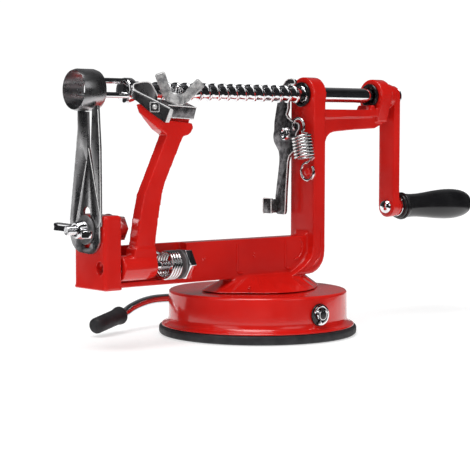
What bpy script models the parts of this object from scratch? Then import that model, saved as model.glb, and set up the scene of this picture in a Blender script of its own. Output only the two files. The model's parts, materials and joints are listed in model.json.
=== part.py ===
"""Hand-cranked apple peeler and corer on a suction base, as an assembly of separate pieces.

Frame: the origin is the centre of the suction pad's underside on the table. +Z is up, the drive shaft
runs along X at Y = 0, +X points to the crank, -X to the slicing blade, -Y to the user's side.
Sizes below are in millimetres; MM turns them into Blender's metres.
"""
import math

import bmesh
import bpy
from mathutils import Matrix, Vector

MM = 0.001
GAP = 0.3

# Drive line
SHAFT_Z = 131.8
LEAD = 6.35
CORE_R = 4.0
CREST_R = 4.9
SMOOTH_R = 4.25
THREAD_START = -86.0
THREAD_TURNS = 19
FORK_FACE_X = -92.0
PRONG_CIRCLE_R = 5.6
PRONG_R = 1.5
PRONG_TIP_X = -117.0

# Cast frame
BLOCK_X = (-113.0, -102.3)
BLOCK_HALF_Y = 13.6
BLOCK_TOP = 69.2
BAR_BOTTOM = 31.4
BAR_TOP = 52.6
BAR_HALF_Y = 4.5
BAR_END_X = -54.0
COLUMN_X = (33.3, 42.0)
COLUMN_HALF_Y = 9.7
LUG_R = 9.6
REAR_LUG_X = (87.6, 96.0)
LUG_BORE_R = 6.1
BUSHING_R = 5.8
BUSHING_BORE_R = 5.2
BUSHING_FLANGE_R = 6.9
WEB_TOP = 123.6
STRIP_TOP = 34.0
CORNER_R = 12.0
PEDESTAL_TOP_Z = 32.4
PEDESTAL_TOP_X = (-17.0, 29.0)
PEDESTAL_FOOT = ((41.2, 4.0), (38.5, 9.0), (31.0, 16.0), (21.0, 24.5), (10.0, 30.0), (0.0, 31.5),
                 (-10.0, 30.0), (-18.0, 24.5), (-24.0, 18.0), (-31.0, 12.5), (-35.5, 6.5))

# Suction base
PAD_R = 54.85
PAD_H = 5.0
HOUSING_R = 49.2
HOUSING_FLANGE_R = 53.1
HOUSING_TOP = 24.3
WALL = 2.4
CAM_Z = 14.5
CAM_R = 4.1
CAM_LIFT = 2.5
ROD_R = 2.65
BASE_SCREW_X = (-14.5, 21.5)
SLEEVE_START = Vector((-58.0, 48.9, 9.5))
SLEEVE_END = Vector((-81.5, 40.7, 5.8))

# Peeling arm: it swings about an axis parallel to X
ARM_PIVOT_Y = -8.6
ARM_PIVOT_Z = 42.0
ARM_LEAN = 0.07
ARM_HALF_Y = 3.6
PIVOT_BOLT_R = 2.4
HUB_X = -101.6
CLAMP_AXIS = Vector((0.05, -0.30, 0.95)).normalized()
CLAMP_SPOT = Vector((-69.6, -14.2, 125.4))
PEELING_WING_TURN = -30.0

# Release lever: a plate in a YZ plane in front of the column
LEVER_X = (27.0, 29.0)
LEVER_PIVOT_Y = 6.3
LEVER_PIVOT_Z = 109.8
LEVER_EYE = (-0.6, 112.4)
SPRING_PEG = (-9.0, 88.6)

# Crank
CRANK_X = (101.5, 106.6)
CRANK_HALF_Y = 6.3
HANDLE_Z = 66.5
GRIP_X = (111.2, 173.6)

# Slicing blade
BLADE_X = (-114.5, -113.3)
SLICING_BOLT_Z = 61.8
CORING_R = 10.55
CORING_WALL = 0.8
SLICING_WING_TURN = 84.0


# ---------------------------------------------------------------- materials

def material(name, colour, roughness, metallic):
    found = bpy.data.materials.get(name)
    if found:
        return found
    made = bpy.data.materials.new(name)
    made.use_nodes = True
    shader = made.node_tree.nodes["Principled BSDF"]
    shader.inputs["Base Color"].default_value = (*colour, 1.0)
    shader.inputs["Roughness"].default_value = roughness
    shader.inputs["Metallic"].default_value = metallic
    return made


def red_enamel():
    return material("red_enamel", (0.55, 0.008, 0.006), 0.22, 0.0)


def chrome():
    return material("chrome", (0.8, 0.8, 0.82), 0.12, 1.0)


def brushed_steel():
    return material("brushed_steel", (0.42, 0.42, 0.44), 0.35, 1.0)


def black_rubber():
    return material("black_rubber", (0.02, 0.02, 0.02), 0.75, 0.0)


def black_plastic():
    return material("black_plastic", (0.015, 0.015, 0.015), 0.25, 0.0)


# ---------------------------------------------------------------- shape helpers, all in millimetres

def mesh_object(name, bm):
    """A mesh object from a bmesh whose vertices are in millimetres."""
    bmesh.ops.recalc_face_normals(bm, faces=bm.faces)
    mesh = bpy.data.meshes.new(name)
    bm.to_mesh(mesh)
    bm.free()
    made = bpy.data.objects.new(name, mesh)
    bpy.context.collection.objects.link(made)
    return made


def prism(outline, axis, low, high, name="blank"):
    """An outline pushed along one axis: X takes (y, z), Y takes (x, z), Z takes (x, y)."""
    place = {
        "X": lambda p, t: (t, p[0], p[1]),
        "Y": lambda p, t: (p[0], t, p[1]),
        "Z": lambda p, t: (p[0], p[1], t),
    }[axis]
    bm = bmesh.new()
    start = [bm.verts.new(place(p, low)) for p in outline]
    end = [bm.verts.new(place(p, high)) for p in outline]
    bm.faces.new(start)
    bm.faces.new(end)
    for i in range(len(outline)):
        j = (i + 1) % len(outline)
        bm.faces.new((start[i], start[j], end[j], end[i]))
    return mesh_object(name, bm)


def box(x, y, z, name="blank"):
    return prism(((x[0], y[0]), (x[1], y[0]), (x[1], y[1]), (x[0], y[1])), "Z", z[0], z[1], name)


def turned(profile, origin, axis=(0, 0, 1), sides=24, name="blank"):
    """A closed profile of (radius, height) points turned about an axis through origin."""
    turn = Vector((0, 0, 1)).rotation_difference(Vector(axis)).to_matrix()
    bm = bmesh.new()
    rings = []
    for radius, height in profile:
        if radius == 0:
            rings.append([bm.verts.new(Vector(origin) + turn @ Vector((0, 0, height)))])
            continue
        ring = []
        for i in range(sides):
            angle = 2 * math.pi * (i + 0.5) / sides
            spot = Vector((radius * math.cos(angle), radius * math.sin(angle), height))
            ring.append(bm.verts.new(Vector(origin) + turn @ spot))
        rings.append(ring)
    for k, ring in enumerate(rings):
        after = rings[(k + 1) % len(rings)]
        for i in range(sides):
            j = (i + 1) % sides
            corners = [ring[i % len(ring)], ring[j % len(ring)]]
            corners += [after[j % len(after)], after[i % len(after)]]
            corners = list(dict.fromkeys(corners))
            if len(corners) > 2:
                bm.faces.new(corners)
    return mesh_object(name, bm)


def rod(start, end, radius, sides=16, name="blank"):
    along = Vector(end) - Vector(start)
    length = along.length
    profile = ((0, 0), (radius, 0), (radius, length), (0, length))
    return turned(profile, start, tuple(along.normalized()), sides, name)


def hex_head(start, end, across_flats, name="blank"):
    return rod(start, end, across_flats / math.sqrt(3), 6, name)


def tube(points, radius, sides=8, name="blank"):
    """A round wire along a path, with flat ends."""
    points = [Vector(p) for p in points]
    side = (points[1] - points[0]).orthogonal().normalized()
    bm = bmesh.new()
    rings = []
    for k, point in enumerate(points):
        along = (points[min(k + 1, len(points) - 1)] - points[max(k - 1, 0)]).normalized()
        side = (side - along * side.dot(along)).normalized()
        across = along.cross(side)
        ring = []
        for i in range(sides):
            angle = 2 * math.pi * i / sides
            ring.append(bm.verts.new(point + radius * (side * math.cos(angle) + across * math.sin(angle))))
        rings.append(ring)
    for a, b in zip(rings, rings[1:]):
        for i in range(sides):
            j = (i + 1) % sides
            bm.faces.new((a[i], a[j], b[j], b[i]))
    bm.faces.new(rings[0])
    bm.faces.new(rings[-1])
    return mesh_object(name, bm)


def ribbon(stations, thickness, name="blank"):
    """A strip through (lower edge, upper edge, outward normal) stations."""
    bm = bmesh.new()
    rings = []
    for low, high, outward in stations:
        step = Vector(outward).normalized() * thickness
        low, high = Vector(low), Vector(high)
        rings.append([bm.verts.new(p) for p in (low, high, high + step, low + step)])
    for a, b in zip(rings, rings[1:]):
        for i in range(4):
            j = (i + 1) % 4
            bm.faces.new((a[i], a[j], b[j], b[i]))
    bm.faces.new(rings[0])
    bm.faces.new(rings[-1])
    return mesh_object(name, bm)


def apply_modifiers(part):
    shape = part.evaluated_get(bpy.context.evaluated_depsgraph_get())
    mesh = bpy.data.meshes.new_from_object(shape)
    part.modifiers.clear()
    old = part.data
    part.data = mesh
    bpy.data.meshes.remove(old)
    return part


def combine(base, others, operation):
    """Boolean the other shapes into the base one and remove them."""
    for other in others:
        step = base.modifiers.new("combine", "BOOLEAN")
        step.operation = operation
        step.solver = "EXACT"
        step.object = other
        apply_modifiers(base)
        bpy.data.objects.remove(other)
    return base


def fuse(base, *others):
    return combine(base, others, "UNION")


def carve(base, *others):
    return combine(base, others, "DIFFERENCE")


def rounded(part, width, segments=1, angle=50):
    edge = part.modifiers.new("edges", "BEVEL")
    edge.width = width
    edge.segments = segments
    edge.limit_method = "ANGLE"
    edge.angle_limit = math.radians(angle)
    edge.use_clamp_overlap = True
    return apply_modifiers(part)


def arc(centre, radius, start, end, steps):
    """Points of an arc, with angles in degrees."""
    points = []
    for i in range(steps + 1):
        angle = math.radians(start + (end - start) * i / steps)
        points.append((centre[0] + radius * math.cos(angle), centre[1] + radius * math.sin(angle)))
    return points


def finish(part, name, look, origin=(0, 0, 0), smooth_angle=35):
    """Name a part, turn its millimetres into metres and put its origin on its joint's axis."""
    part.name = name
    part.data.name = name
    part.data.materials.clear()
    part.data.materials.append(look)
    part.data.shade_smooth()
    part.data.set_sharp_from_angle(angle=math.radians(smooth_angle))
    spot = Vector(origin) * MM
    part.data.transform(Matrix.Translation(-spot) @ Matrix.Scale(MM, 4))
    part.location = spot
    return part


def along_x(x, y=0.0, z=SHAFT_Z):
    return (x, y, z)


# ---------------------------------------------------------------- suction base

def suction_pad():
    profile = [(0, 0), (52.4, 0), (54.2, 0.6), (PAD_R, 2.0), (PAD_R, 4.0), (54.2, PAD_H), (50.0, PAD_H)]
    profile += [(48.0, 3.2), (0, 3.2)]
    return finish(turned(profile, (0, 0, 0), sides=48), "suction_pad", black_rubber())


def suction_housing():
    foot = PAD_H + GAP
    profile = [(HOUSING_FLANGE_R, foot), (HOUSING_FLANGE_R, foot + 0.8), (HOUSING_R + 2.2, foot + 1.2)]
    profile += [(HOUSING_R + 0.6, foot + 2.4), (HOUSING_R, foot + 4.2), (HOUSING_R, HOUSING_TOP - 1.2)]
    profile += [(HOUSING_R - 0.35, HOUSING_TOP - 0.35), (HOUSING_R - 1.2, HOUSING_TOP), (0, HOUSING_TOP)]
    profile += [(0, HOUSING_TOP - WALL)]
    profile += [(HOUSING_R - WALL, HOUSING_TOP - WALL), (HOUSING_R - WALL, foot)]
    shell = turned(profile, (0, 0, 0), sides=48)
    spindle = rod((0, -60, CAM_Z), (0, 60, CAM_Z), ROD_R + GAP)
    holes = [rod((x, 0, 15), (x, 0, 30), 2.5, 12) for x in BASE_SCREW_X]
    return finish(carve(shell, spindle, *holes), "suction_housing", red_enamel())


def base_screw(index):
    """A screw up through the housing's roof into the frame's foot."""
    x = BASE_SCREW_X[index]
    roof = HOUSING_TOP - WALL - GAP
    head = hex_head((x, 0, roof - 2.6), (x, 0, roof), 8)
    shank = rod((x, 0, roof - 1), (x, 0, 31.0), 2.1, 12)
    return finish(fuse(head, shank), ("base_screw_left", "base_screw_right")[index], chrome())


def pad_plunger():
    """The disc bonded to the pad, with the yoke that the eccentric lifts."""
    base_z = 3.2 + GAP
    disc = turned(((0, base_z), (18, base_z), (18, base_z + 1.5), (0, base_z + 1.5)), (0, 0, 0), sides=24)
    low, high = base_z + 0.7, CAM_Z + 4.1
    yoke = box((-9.5, 9.5), (-4, 4), (low, high))
    half = CAM_R + CAM_LIFT / 2 + 0.6
    middle = CAM_Z - CAM_LIFT / 2
    window = box((-half, half), (-5, 5), (middle - CAM_R - 0.5, middle + CAM_R + 0.5))
    return finish(carve(fuse(disc, yoke), window), "pad_plunger", brushed_steel(), (0, 0, base_z))


def suction_lever():
    """The chrome rod: a spindle with an eccentric in its middle, bent to a lever behind the base."""
    bend = [Vector((0, 51.5, CAM_Z)), Vector((-1.4, 55.0, CAM_Z)), Vector((-5.0, 57.2, CAM_Z + 0.1))]
    reach = [Vector((-12, 57.6, 14.9)), Vector((-22, 56.8, 15.4)), Vector((-31, 55.6, 15.4))]
    into_sleeve = (SLEEVE_END - SLEEVE_START).normalized()
    drop = [Vector((-40, 53.8, 14.4)), Vector((-48.5, 51.8, 12.4)), SLEEVE_START - into_sleeve * 1.5]
    tail = [SLEEVE_END - into_sleeve * 3]
    path = [Vector((0, -52.5, CAM_Z)), Vector((0, 40, CAM_Z))] + bend + reach + drop + tail
    spindle = tube(path, ROD_R, 12)
    offset = CAM_Z - CAM_LIFT / 2
    cam = rod((0, -5, offset), (0, 5, offset), CAM_R, 24)
    groove = turned(((ROD_R - 0.7, -0.6), (5, -0.6), (5, 0.6), (ROD_R - 0.7, 0.6)), (0, -51.0, CAM_Z),
                    (0, 1, 0), 12)
    return finish(carve(fuse(spindle, cam), groove), "suction_lever", chrome(), (0, 0, CAM_Z))


def lever_sleeve():
    """The black sleeve pushed over the lever's end."""
    length = (SLEEVE_END - SLEEVE_START).length
    inner = ROD_R + GAP
    profile = [(inner, 0), (4.8, 0), (5.1, 0.8), (5.0, 2.2), (4.6, 3.8), (4.4, 8.0), (4.4, length - 1.4)]
    profile += [(3.5, length), (0, length), (0, length - 2.2), (inner, length - 2.2)]
    along = tuple((SLEEVE_END - SLEEVE_START).normalized())
    return finish(turned(profile, SLEEVE_START, along, 16), "lever_sleeve", black_rubber(), (0, 0, CAM_Z))


def retaining_clip():
    """The open ring snapped into the spindle's groove outside the housing."""
    ring = turned(((ROD_R - 0.4, -0.3), (5.6, -0.3), (5.6, 0.3), (ROD_R - 0.4, 0.3)), (0, -51.0, CAM_Z),
                  (0, 1, 0), 20)
    mouth = box((-2.0, 2.0), (-52, -50), (CAM_Z - 8, CAM_Z - 1.0))
    return finish(carve(ring, mouth), "retaining_clip", chrome(), (0, 0, CAM_Z))


# ---------------------------------------------------------------- frame

def pedestal():
    """The flared foot between the bar and the housing's roof, drawn in to the bar at its top."""
    half = list(PEDESTAL_FOOT)
    outline = half + [(x, -y) for x, y in reversed(half)]
    foot_left = min(x for x, _ in outline)
    foot_right = max(x for x, _ in outline)
    left, right = PEDESTAL_TOP_X
    draw_in = (right - left) / (foot_right - foot_left)
    edge = BAR_HALF_Y + 0.45
    bm = bmesh.new()
    lower = [bm.verts.new((x, y, HOUSING_TOP + GAP)) for x, y in outline]
    upper = []
    for x, y in outline:
        spot = (left + (x - foot_left) * draw_in, max(-edge, min(edge, y)), PEDESTAL_TOP_Z)
        upper.append(bm.verts.new(spot))
    bm.faces.new(lower)
    bm.faces.new(upper)
    for i in range(len(outline)):
        j = (i + 1) % len(outline)
        bm.faces.new((lower[i], lower[j], upper[j], upper[i]))
    return mesh_object("foot", bm)


def frame_casting():
    """The red casting: blade block, bar, column, two shaft lugs and the foot, in one piece."""
    block = box(BLOCK_X, (-BLOCK_HALF_Y, BLOCK_HALF_Y), (BAR_BOTTOM, BLOCK_TOP))
    rounded(block, 1.6, 2)
    strip = box((BLOCK_X[1] - 1, BAR_END_X + 1), (-BAR_HALF_Y, BAR_HALF_Y), (BAR_BOTTOM, STRIP_TOP))
    web = box((BLOCK_X[1] - 1, BAR_END_X + 1), (1.0, BAR_HALF_Y), (BAR_BOTTOM + 1, BAR_TOP))
    inner, outer = COLUMN_X
    corner = arc((outer - CORNER_R, BAR_BOTTOM + CORNER_R), CORNER_R, -90, 0, 6)
    bar_outline = [(BAR_END_X, BAR_BOTTOM)] + corner + [(outer, BAR_TOP + 2), (inner, BAR_TOP + 2)]
    bar_outline += [(inner - 2, BAR_TOP), (BAR_END_X, BAR_TOP)]
    bar = prism(bar_outline, "Y", -BAR_HALF_Y, BAR_HALF_Y)
    heel = [(inner, 46.0), (32.6, 42.4), (30.8, 39.4), (28.0, 37.0), (24.0, 34.6), (18.0, BAR_BOTTOM)]
    heel += corner + [(outer, SHAFT_Z), (inner, SHAFT_Z)]
    column = prism(heel, "Y", -COLUMN_HALF_Y, COLUMN_HALF_Y)
    front_lug = rod(along_x(COLUMN_X[0]), along_x(COLUMN_X[1] + 0.6), COLUMN_HALF_Y, 28)
    rear_lug = rod(along_x(REAR_LUG_X[0]), along_x(REAR_LUG_X[1]), LUG_R, 28)
    rear_foot = prism(((-5.5, 116.6), (5.5, 116.6), (9.0, 128), (-9.0, 128)), "X", *REAR_LUG_X)
    step = REAR_LUG_X[0] - 2.2
    lug_start, lug_end = REAR_LUG_X
    step = lug_start - 2.2
    flange_outline = [(outer - 1, 118.6), (lug_end - 0.5, 119.8), (lug_end - 0.5, 124.4), (step, 124.4)]
    flange_outline += [(step, 126.3), (83.4, 126.3), (82.0, WEB_TOP), (outer - 1, WEB_TOP)]
    flange = prism(flange_outline, "Y", -6.0, 6.0)
    rib_outline = [(outer - 1, 88.0), (44.5, 96.0), (46.8, 101.0), (47.8, 105.0), (49.0, 108.0)]
    rib_outline += [(51.5, 110.0), (55.0, 110.9), (70.0, 112.0), (lug_start, 112.8), (lug_end - 1.5, 115.6)]
    rib_outline += [(lug_end - 1.5, 122.0), (outer - 1, 122.0)]
    rib = prism(rib_outline, "Y", -3.8, 3.8)
    peg = turned(((0, 0), (2.3, 0), (2.3, 5.4), (1.9, 6.0), (0, 6.0)),
                 (COLUMN_X[0] + 0.6, SPRING_PEG[0], SPRING_PEG[1]), (-1, 0, 0), 14)
    shape = fuse(bar, column, block, strip, web, front_lug, rear_lug, rear_foot, flange, rib)
    fuse(shape, pedestal(), peg)
    bores = [
        rod(along_x(COLUMN_X[0] - 3), along_x(COLUMN_X[1] + 3), LUG_BORE_R, 24),
        rod(along_x(REAR_LUG_X[0] - 3), along_x(REAR_LUG_X[1] + 3), LUG_BORE_R, 24),
        rod((BLOCK_X[0] - 3, ARM_PIVOT_Y, ARM_PIVOT_Z), (BLOCK_X[1] + 3, ARM_PIVOT_Y, ARM_PIVOT_Z),
            PIVOT_BOLT_R + GAP, 16),
        rod((BLOCK_X[0] - 3, 0, SLICING_BOLT_Z), (BLOCK_X[1] + 3, 0, SLICING_BOLT_Z), 2.5 + GAP, 16),
        rod((inner - 3, LEVER_PIVOT_Y, LEVER_PIVOT_Z), (inner + 6, LEVER_PIVOT_Y, LEVER_PIVOT_Z),
            1.9 + GAP, 12),
    ]
    bores += [rod((x, 0, 20), (x, 0, 31.6), 2.1 + GAP, 12) for x in BASE_SCREW_X]
    return finish(carve(shape, *bores), "frame_casting", red_enamel())


# ---------------------------------------------------------------- drive line

def bushing(name, face_x, length):
    """A flanged plastic bushing pushed into a lug from the -X side."""
    profile = ((BUSHING_BORE_R, 0), (BUSHING_FLANGE_R, 0), (BUSHING_FLANGE_R, 1.3), (BUSHING_R, 1.3),
               (BUSHING_R, length), (BUSHING_BORE_R, length))
    shape = turned(profile, along_x(face_x - 1.3 - GAP), (1, 0, 0), 24)
    return finish(shape, name, black_plastic(), (0, 0, SHAFT_Z))


def screw_thread(start, turns, sides, stations):
    """A threaded rod as one helical lattice; stations are (share of the lead, radius)."""
    per_turn = len(stations)
    rows = turns * per_turn
    bm = bmesh.new()
    grid = []
    for row in range(rows + per_turn + 1):
        share, radius = stations[row % per_turn]
        x = start + LEAD * (row // per_turn + share)
        line = []
        for a in range(sides):
            angle = 2 * math.pi * a / sides
            spot = (x + LEAD * a / sides, radius * math.cos(angle), SHAFT_Z + radius * math.sin(angle))
            line.append(bm.verts.new(spot) if row <= rows or a == 0 else None)
        grid.append(line)
    for row in range(rows):
        for a in range(sides - 1):
            bm.faces.new((grid[row][a], grid[row + 1][a], grid[row + 1][a + 1], grid[row][a + 1]))
        seam = (grid[row][-1], grid[row + 1][-1], grid[row + 1 + per_turn][0], grid[row + per_turn][0])
        bm.faces.new(seam)
    for first, inwards in ((0, 0.5), (rows, 0.5)):
        centre = bm.verts.new((start + LEAD * (first // per_turn + inwards), 0, SHAFT_Z))
        loop = list(grid[first]) + [grid[first + k][0] for k in range(per_turn, 0, -1)]
        for a, b in zip(loop, loop[1:] + loop[:1]):
            bm.faces.new((centre, a, b))
    return mesh_object("thread", bm)


def drive_shaft():
    """The threaded shaft, smooth where the crank pushes on."""
    stations = ((0.0, CORE_R), (0.12, CREST_R), (0.27, CREST_R), (0.39, CORE_R))
    thread = screw_thread(THREAD_START, THREAD_TURNS, 12, stations)
    end = THREAD_START + THREAD_TURNS * LEAD
    nose = rod(along_x(FORK_FACE_X + 3), along_x(THREAD_START + 8), CORE_R - 0.2, 16)
    tail = rod(along_x(end - 2), along_x(CRANK_X[1] + 1.2), SMOOTH_R, 20)
    shape = fuse(thread, nose, tail)
    socket = rod(along_x(CRANK_X[1] - 8), along_x(CRANK_X[1] + 3), 1.5 + GAP, 10)
    return finish(carve(shape, socket), "drive_shaft", chrome(), (0, 0, SHAFT_Z))


def apple_fork():
    """Three pointed prongs on a hub at the shaft's nose."""
    hub_profile = ((0, 0), (6.0, 0), (6.6, 1.0), (6.6, 4.6), (5.6, 5.6), (CORE_R + 0.1, 5.6),
                   (CORE_R + 0.1, 2.7), (0, 2.7))
    hub = turned(hub_profile, along_x(FORK_FACE_X), (1, 0, 0), 20)
    prongs = []
    for k in range(3):
        angle = math.radians(90 + 120 * k)
        y = PRONG_CIRCLE_R * math.cos(angle) * 0.86
        z = SHAFT_Z + PRONG_CIRCLE_R * math.sin(angle) * 0.86
        length = FORK_FACE_X - PRONG_TIP_X
        profile = ((0, -1.5), (PRONG_R, -1.5), (PRONG_R, length - 7), (0.25, length), (0, length))
        prongs.append(turned(profile, (FORK_FACE_X, y, z), (-1, 0, 0), 10))
    return finish(fuse(hub, *prongs), "apple_fork", chrome(), (0, 0, SHAFT_Z))


def crank_arm():
    outline = arc((0, SHAFT_Z), CRANK_HALF_Y, 0, 180, 10) + arc((0, HANDLE_Z), CRANK_HALF_Y, 180, 360, 10)
    arm = prism(outline, "X", *CRANK_X)
    boss = rod((CRANK_X[1] - 1, 0, HANDLE_Z), (CRANK_X[1] + 3.0, 0, HANDLE_Z), 5.6, 20)
    collar_profile = ((0, -1), (7.2, -1), (7.2, 2.6), (6.6, 3.3), (0, 3.3))
    collar = turned(collar_profile, along_x(CRANK_X[0]), (-1, 0, 0), 24)
    shape = fuse(arm, boss, collar)
    bores = (rod(along_x(90), along_x(120), SMOOTH_R + GAP, 20),
             rod((90, 0, HANDLE_Z), (120, 0, HANDLE_Z), 2.5 + GAP, 14))
    return finish(carve(shape, *bores), "crank_arm", red_enamel(), (0, 0, SHAFT_Z))


def crank_screw():
    """The screw and washer face that hold the crank on the shaft's end."""
    face = CRANK_X[1] + 1.2 + GAP
    head = turned(((0, 0), (5.2, 0), (5.2, 0.6), (4.2, 0.6), (4.0, 1.5), (3.0, 2.1), (0, 2.1)),
                  along_x(face), (1, 0, 0), 20)
    shank = rod(along_x(face - 6), along_x(face + 1), 1.5, 10)
    slot = box((face + 1.3, face + 5), (-0.6, 0.6), (SHAFT_Z - 6, SHAFT_Z + 6))
    return finish(carve(fuse(head, shank), slot), "crank_screw", chrome(), (0, 0, SHAFT_Z))


def handle_bolt():
    """The bolt that the grip turns on, its domed head on the frame's side of the crank."""
    head = turned(((0, -3.2), (1.9, -2.9), (3.9, -1.3), (4.1, -GAP), (0, -GAP)), (CRANK_X[0], 0, HANDLE_Z),
                  (1, 0, 0), 18)
    shank = rod((CRANK_X[0] - 1, 0, HANDLE_Z), (GRIP_X[1] - 7, 0, HANDLE_Z), 2.5, 14)
    return finish(fuse(head, shank), "handle_bolt", chrome(), (0, 0, HANDLE_Z))


def handle_washer():
    profile = ((2.8, 0), (6.0, 0), (6.0, 0.7), (2.8, 0.7))
    shape = turned(profile, (CRANK_X[1] + 3.0 + GAP, 0, HANDLE_Z), (1, 0, 0), 20)
    return finish(shape, "handle_washer", chrome(), (0, 0, HANDLE_Z))


def handle_grip():
    """The black grip, a collar with rings, a slim waist and a full rounded end."""
    start, end = GRIP_X
    length = end - start
    outer = [(2.8, 0), (7.2, 0), (8.1, 0.8), (8.2, 3.4), (7.7, 4.2), (7.3, 7.0), (6.95, 13.0), (7.3, 20.0),
             (8.3, 29.0), (9.0, 38.0), (9.15, 44.0), (8.8, 51.0), (7.5, 57.4), (5.2, 61.0),
             (2.6, length - 0.3), (0, length), (0, length - 5.0), (2.8, length - 5.0)]
    return finish(turned(outer, (start, 0, HANDLE_Z), (1, 0, 0), 24), "handle_grip", black_plastic(),
                  (0, 0, HANDLE_Z))


# ---------------------------------------------------------------- release lever

def release_lever():
    """The plate with the half-nut finger beside the thread and the thumb tab below."""
    y0, z0 = LEVER_PIVOT_Y, LEVER_PIVOT_Z
    finger = [(5.5, 124.0), (5.5, 136.2), (3.4, 137.6), (-0.2, 137.6), (0.4, 140.0), (5.2, 140.5)]
    back = [(9.3, 137.2), (14.2, 128.0), (17.0, 116.0)] + arc((10.6, 108.2), 7.2, 25, -45, 4)
    back += [(12.6, 97.0), (13.3, 89.0)]
    stem = [(15.8, 74.0), (15.6, 66.0), (14.0, 64.0), (9.0, 64.0), (7.6, 66.0), (7.0, 78.0), (5.6, 94.0)]
    front = [(0.8, 100.0), (-0.3, 106.5), (-1.5, 110.2), (-3.6, 112.6), (-3.0, 115.4), (2.6, 117.0)]
    front += [(7.0, 120.5)]
    plate = prism(finger + back + stem + front, "X", *LEVER_X)
    tab = [(15.4, 64.4), (15.4, 73.0), (21.8, 73.0), (22.3, 72.5), (22.3, 64.9), (21.8, 64.4)]
    tab_plate = prism(tab, "X", LEVER_X[0] - 3.5, LEVER_X[0] - 2.0)
    bridge = box((LEVER_X[0] - 3.5, LEVER_X[1]), (14.0, 16.0), (65.0, 72.4))
    shape = fuse(plate, bridge, tab_plate)
    pivot = rod((20, y0, z0), (34, y0, z0), 1.9 + GAP, 14)
    eyelet = rod((20, *LEVER_EYE), (34, *LEVER_EYE), 1.1, 10)
    return finish(carve(shape, pivot, eyelet), "release_lever", brushed_steel(), (0, y0, z0))


def lever_pivot_screw():
    y, z = LEVER_PIVOT_Y, LEVER_PIVOT_Z
    near = LEVER_X[0] - GAP
    head = turned(((0, 0), (3.9, 0), (3.7, 1.4), (2.4, 2.2), (0, 2.3)), (near, y, z), (-1, 0, 0), 16)
    shank = rod((near - 1, y, z), (COLUMN_X[0] + 5, y, z), 1.9, 12)
    return finish(fuse(head, shank), "lever_pivot_screw", chrome(), (0, y, z))


def lever_spacer():
    """The sleeve that holds the lever's plate off the column."""
    y, z = LEVER_PIVOT_Y, LEVER_PIVOT_Z
    shape = turned(((2.2, 0), (3.8, 0), (3.8, COLUMN_X[0] - LEVER_X[1] - 2 * GAP),
                    (2.2, COLUMN_X[0] - LEVER_X[1] - 2 * GAP)), (LEVER_X[1] + GAP, y, z), (1, 0, 0), 16)
    return finish(shape, "lever_spacer", brushed_steel(), (0, y, z))


def lever_spring():
    """The extension spring from the lever's ear down to the casting's peg."""
    top = Vector((25.6, -7.6, 108.6))
    low = Vector((26.0, -9.8, 96.4))
    turns, wire, radius = 7, 0.8, 5.1
    along = (low - top).normalized()
    side = Vector((1, 0, 0))
    side = (side - along * side.dot(along)).normalized()
    across = along.cross(side)
    path = []
    steps = 10
    path += [Vector((30.4, *LEVER_EYE)), Vector((26.2, *LEVER_EYE))]
    loop_r = 4.4
    loop = Vector((25.6, LEVER_EYE[0] - loop_r, LEVER_EYE[1] + 1.6))
    for i in range(6):
        angle = math.radians(20 + 42 * i)
        path.append(loop + Vector((0, loop_r * math.cos(angle), loop_r * math.sin(angle))))
    for i in range(turns * steps + 1):
        angle = 2 * math.pi * i / steps + 0.6
        share = i / (turns * steps)
        path.append(top.lerp(low, share) + radius * (side * math.cos(angle) + across * math.sin(angle)))
    hook = Vector((30.0, SPRING_PEG[0] + 1.2, SPRING_PEG[1] + 0.2))
    hook_r = 4.9
    for i in range(11):
        angle = math.radians(95 - 31 * i)
        path.append(hook + Vector((0, hook_r * math.cos(angle), hook_r * math.sin(angle))))
    return finish(tube(path, wire, 6), "lever_spring", chrome(), (0, LEVER_PIVOT_Y, LEVER_PIVOT_Z))


# ---------------------------------------------------------------- peeling arm

def lean(part):
    """Slant a shape towards the user's side with height, as the arm rests."""
    for vertex in part.data.vertices:
        vertex.co.y -= ARM_LEAN * (vertex.co.z - ARM_PIVOT_Z)
    return part


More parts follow.
